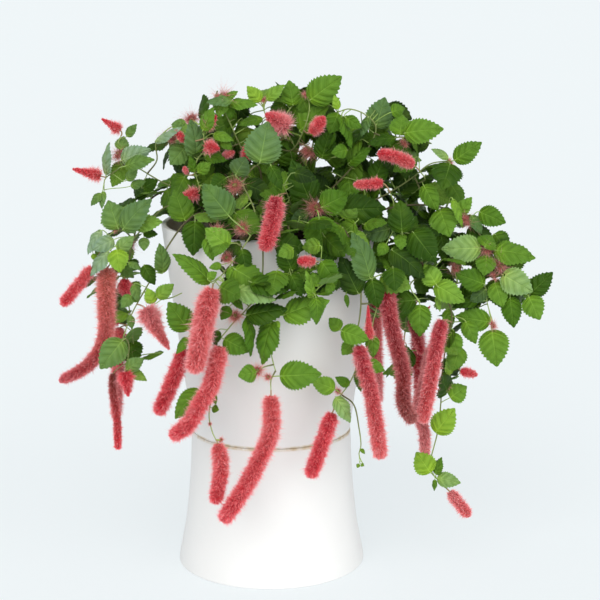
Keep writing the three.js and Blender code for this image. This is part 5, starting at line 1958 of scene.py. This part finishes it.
backShoots = []
for number, degrees in enumerate(backSettings["bearings"], 1):
    lines, outward = backLines(math.radians(degrees))
    root = (backSettings["rootRadius"] * outward[0], -backSettings["rootRadius"] * outward[1])
    name = f"shoot_back_{number}"
    sheaf = Sheaf(name + "_foliage")
    points = addStems(sheaf, root, lines)
    low = lines[0][-2]
    long = draw(backSettings["catkinLength"])
    route = []
    for share in (0, 0.5, 1):
        point = low + outward * between(backSettings["catkinOffset"], share)
        route.append(point - upright(catkinSettings["knee"] + long * share))
    start, tones = closest(points, low), takingTurns(backSettings["catkinTones"], number)
    radius, taper = backSettings["catkinRadius"], backSettings["catkinTaper"]
    catkinPiece(start, np.array(route), radius, taper, tones, catkinSettings["backDensity"])
    backShoots.append((name, sheaf, lines, outward, points))

for name, sheaf, lines, outward, points in backShoots:
    for line in lines:
        addBackLeaves(name, sheaf, line, outward, points, cornersOf(name))
        addSmallBackLeaves(sheaf, line, outward, points)
    for line in lines:
        addBackHeads(sheaf, line, outward, points)
    addYoungCatkins(sheaf, lines[0], outward, points)
    settle(sheaf.make(plantMaterials), name)
print("all leaves", leafCount, "catkins", catkinCount, "missed", missed)


# Pot, stand and soil

# Turns a profile of (radius, height) round the upright axis. Points on the axis become one point.
def turnedPiece(name, profile, sides, material, closed=False, bumps=None):
    angles = np.arange(sides) / sides * circle
    points, rings = [], []
    for radius, height in np.array(profile, float):
        if radius < 1e-6:
            rings.append([len(points)])
            points.append((0, 0, height))
            continue
        rings.append(list(range(len(points), len(points) + sides)))
        points.extend((radius * math.cos(angle), radius * math.sin(angle), height) for angle in angles)
    faces = []
    pairs = list(zip(rings, rings[1:]))
    if closed:
        pairs.append((rings[-1], rings[0]))
    for low, high in pairs:
        for i in range(sides):
            j = (i + 1) % sides
            if len(low) == 1:
                faces.append((low[0], high[j], high[i]))
            elif len(high) == 1:
                faces.append((low[i], low[j], high[0]))
            else:
                faces.append((low[i], low[j], high[j], high[i]))
    points = np.array(points)
    if bumps:
        points = bumps(points)
    mesh = bpy.data.meshes.new(name)
    mesh.from_pydata((points * metre).tolist(), [], faces)
    mesh.materials.append(material)
    mesh.polygons.foreach_set("use_smooth", np.ones(len(faces), bool))
    mesh.update()
    return linked(name, mesh)


# Rounds a corner of a profile, from reach before it to reach after it.
def rounded(corner, before, after, reach):
    corner, before, after = (np.array(point, float) for point in (corner, before, after))
    start = corner + unit(before - corner) * reach
    end = corner + unit(after - corner) * reach
    return list(curved(start, corner, end, 5))


# Corners are (radius, height, reach), and a reach of 0 stays sharp.
def roundedProfile(corners):
    profile = []
    for i, (radius, height, reach) in enumerate(corners):
        if not reach:
            profile.append(np.array([radius, height], float))
            continue
        before, after = corners[i - 1][:2], corners[(i + 1) % len(corners)][:2]
        profile.extend(rounded((radius, height), before, after, reach))
    return profile


potSettings = {
    "sides": 112,
    "base": 105,
    "baseRadius": 60.6,
    "rim": 265,
    "rimRadius": 82,
    "wall": 4,
    "floor": 5,
    "innerRadius": 57.25,              # at the floor
    "drain": 7,
    "rounding": {"base": 1.6, "lip": 1.3, "inner": 3, "drain": 0.5},
}


def potProfile():
    size, reach = potSettings, potSettings["rounding"]
    floor = size["base"] + size["floor"]
    return roundedProfile([
        (size["drain"], size["base"], reach["drain"]),
        (size["baseRadius"], size["base"], reach["base"]),
        (size["rimRadius"], size["rim"], reach["lip"]),
        (size["rimRadius"] - size["wall"], size["rim"], reach["lip"]),
        (size["innerRadius"], floor, reach["inner"]),
        (size["drain"], floor, reach["drain"]),
    ])


potWhite = makePotMaterial("potWhite", True)
pot = turnedPiece("pot_turned", potProfile(), potSettings["sides"], potWhite, closed=True)
settle(pot, "pot")

standSettings = {
    "sides": 96,
    "height": 105,
    "foot": 72,
    "top": 61,
    "wall": 4,
    "floor": 5,
    "flare": ((0, 1), (0.076, 0.9), (0.2, 0.673), (0.352, 0.427), (0.667, 0.136), (1, 0)),
    "rounding": {"foot": 1.2, "top": 1.2, "lip": 1.0, "floor": 1},
}


def standProfile():
    height, wall, floor = (standSettings[part] for part in ("height", "wall", "floor"))
    reach = standSettings["rounding"]
    spread = standSettings["foot"] - standSettings["top"]
    flare = [np.array([standSettings["top"] + spread * out, height * rise, 0])
             for rise, out in standSettings["flare"]]
    line = splineThrough(flare, 4)[:, :2]
    inner = [(radius - wall, z) for radius, z in line if z > floor + 1]
    outside = [(0, 0, 0), (line[0][0], 0, reach["foot"]), *((radius, z, 0) for radius, z in line[1:-1])]
    top = [(line[-1][0], height, reach["top"]), (inner[-1][0], height, reach["lip"])]
    inside = [(radius, z, 0) for radius, z in inner[-2::-1]]
    bottom = [(inner[0][0] - 1, floor, reach["floor"]), (0, floor, 0)]
    return roundedProfile(outside + top + inside + bottom)


standWhite = makePotMaterial("standWhite", False)
stand = turnedPiece("stand_turned", standProfile(), standSettings["sides"], standWhite)
settle(stand, "stand")

soilSettings = {
    "sides": 96,
    "rings": 26,
    "steps": 12,
    "bottom": 110.3,
    "top": 252,
    "dome": 2,
    "domeSlope": 2.5,
    "gap": 0.3,
    "roughness": 0.55,
    "edge": 4,                         # lumps fade out over this width at the pot's wall
}


def insideRadius(height):
    share = (height - potSettings["base"]) / (potSettings["rim"] - potSettings["base"])
    outside = between((potSettings["baseRadius"], potSettings["rimRadius"]), share)
    return outside - potSettings["wall"] - soilSettings["gap"]


def crumble(points):
    moved = points.copy()
    low = soilSettings["top"] - soilSettings["dome"]
    top = points[:, 2] > low - 0.5
    x, y = points[top, 0], points[top, 1]
    fade = np.clip((insideRadius(low) - np.hypot(x, y)) / soilSettings["edge"], 0, 1)
    lumps = np.sin(x * 0.55 + 1) * np.cos(y * 0.61) + 0.7 * np.sin(x * 1.3 + y * 1.1) - 0.6
    moved[top, 2] += (lumps + 0.5 * dice.normal(size=len(x))) * soilSettings["roughness"] * fade
    return moved


def soilProfile():
    low, edge = soilSettings["bottom"], soilSettings["top"] - soilSettings["dome"]
    profile = [(0, low)]
    for height in (low, *np.linspace(low + 1, edge, soilSettings["steps"])):
        profile.append((insideRadius(height), height))
    for share in np.linspace(0, 1, soilSettings["rings"])[1:]:
        rise = soilSettings["dome"] * min(1, share * soilSettings["domeSlope"])
        profile.append((insideRadius(edge) * (1 - share), edge + rise))
    return profile


soil = turnedPiece("soil_crumbled", soilProfile(), soilSettings["sides"], makeSoilMaterial(), bumps=crumble)
settle(soil, "soil")
print("pot, stand and soil made")


# Studio

def makeFloor():
    wide, deep = (size / 2 for size in floorFinish["size"])
    mesh = bpy.data.meshes.new("floor")
    corners = [(-wide, -deep, 0), (wide, -deep, 0), (wide, deep, 0), (-wide, deep, 0)]
    mesh.from_pydata(corners, [], [(0, 1, 2, 3)])
    mesh.materials.append(makeFloorMaterial())
    linked("floor", mesh)


# Far, wide lights fall evenly over the whole floor.
studioLights = {
    "key": {"direction": (0.25, 1.0, -0.70), "power": 1.8, "spread": 50, "colour": (1.0, 0.985, 0.95)},
    "fill": {"direction": (-0.8, 0.9, -0.35), "power": 1.35, "spread": 60, "colour": (1.0, 0.99, 0.97)},
}
studioWorld = {
    "colour": (0.96, 0.98, 1.0, 1),
    "strength": 0.64,
}


def makeLight(name, settings):
    data = bpy.data.lights.new(name, "SUN")
    data.energy = settings["power"]
    data.angle = math.radians(settings["spread"])
    data.color = settings["colour"]
    linked(name, data).rotation_euler = Vector(settings["direction"]).to_track_quat("-Z", "Y").to_euler()


makeFloor()
for name, settings in studioLights.items():
    makeLight(name, settings)
world = bpy.data.worlds.new("studio")
world.use_nodes = True
background = world.node_tree.nodes["Background"]
background.inputs["Color"].default_value = studioWorld["colour"]
background.inputs["Strength"].default_value = studioWorld["strength"]
bpy.context.scene.world = world
bpy.context.scene.view_settings.view_transform = "Standard"
print("studio lit")
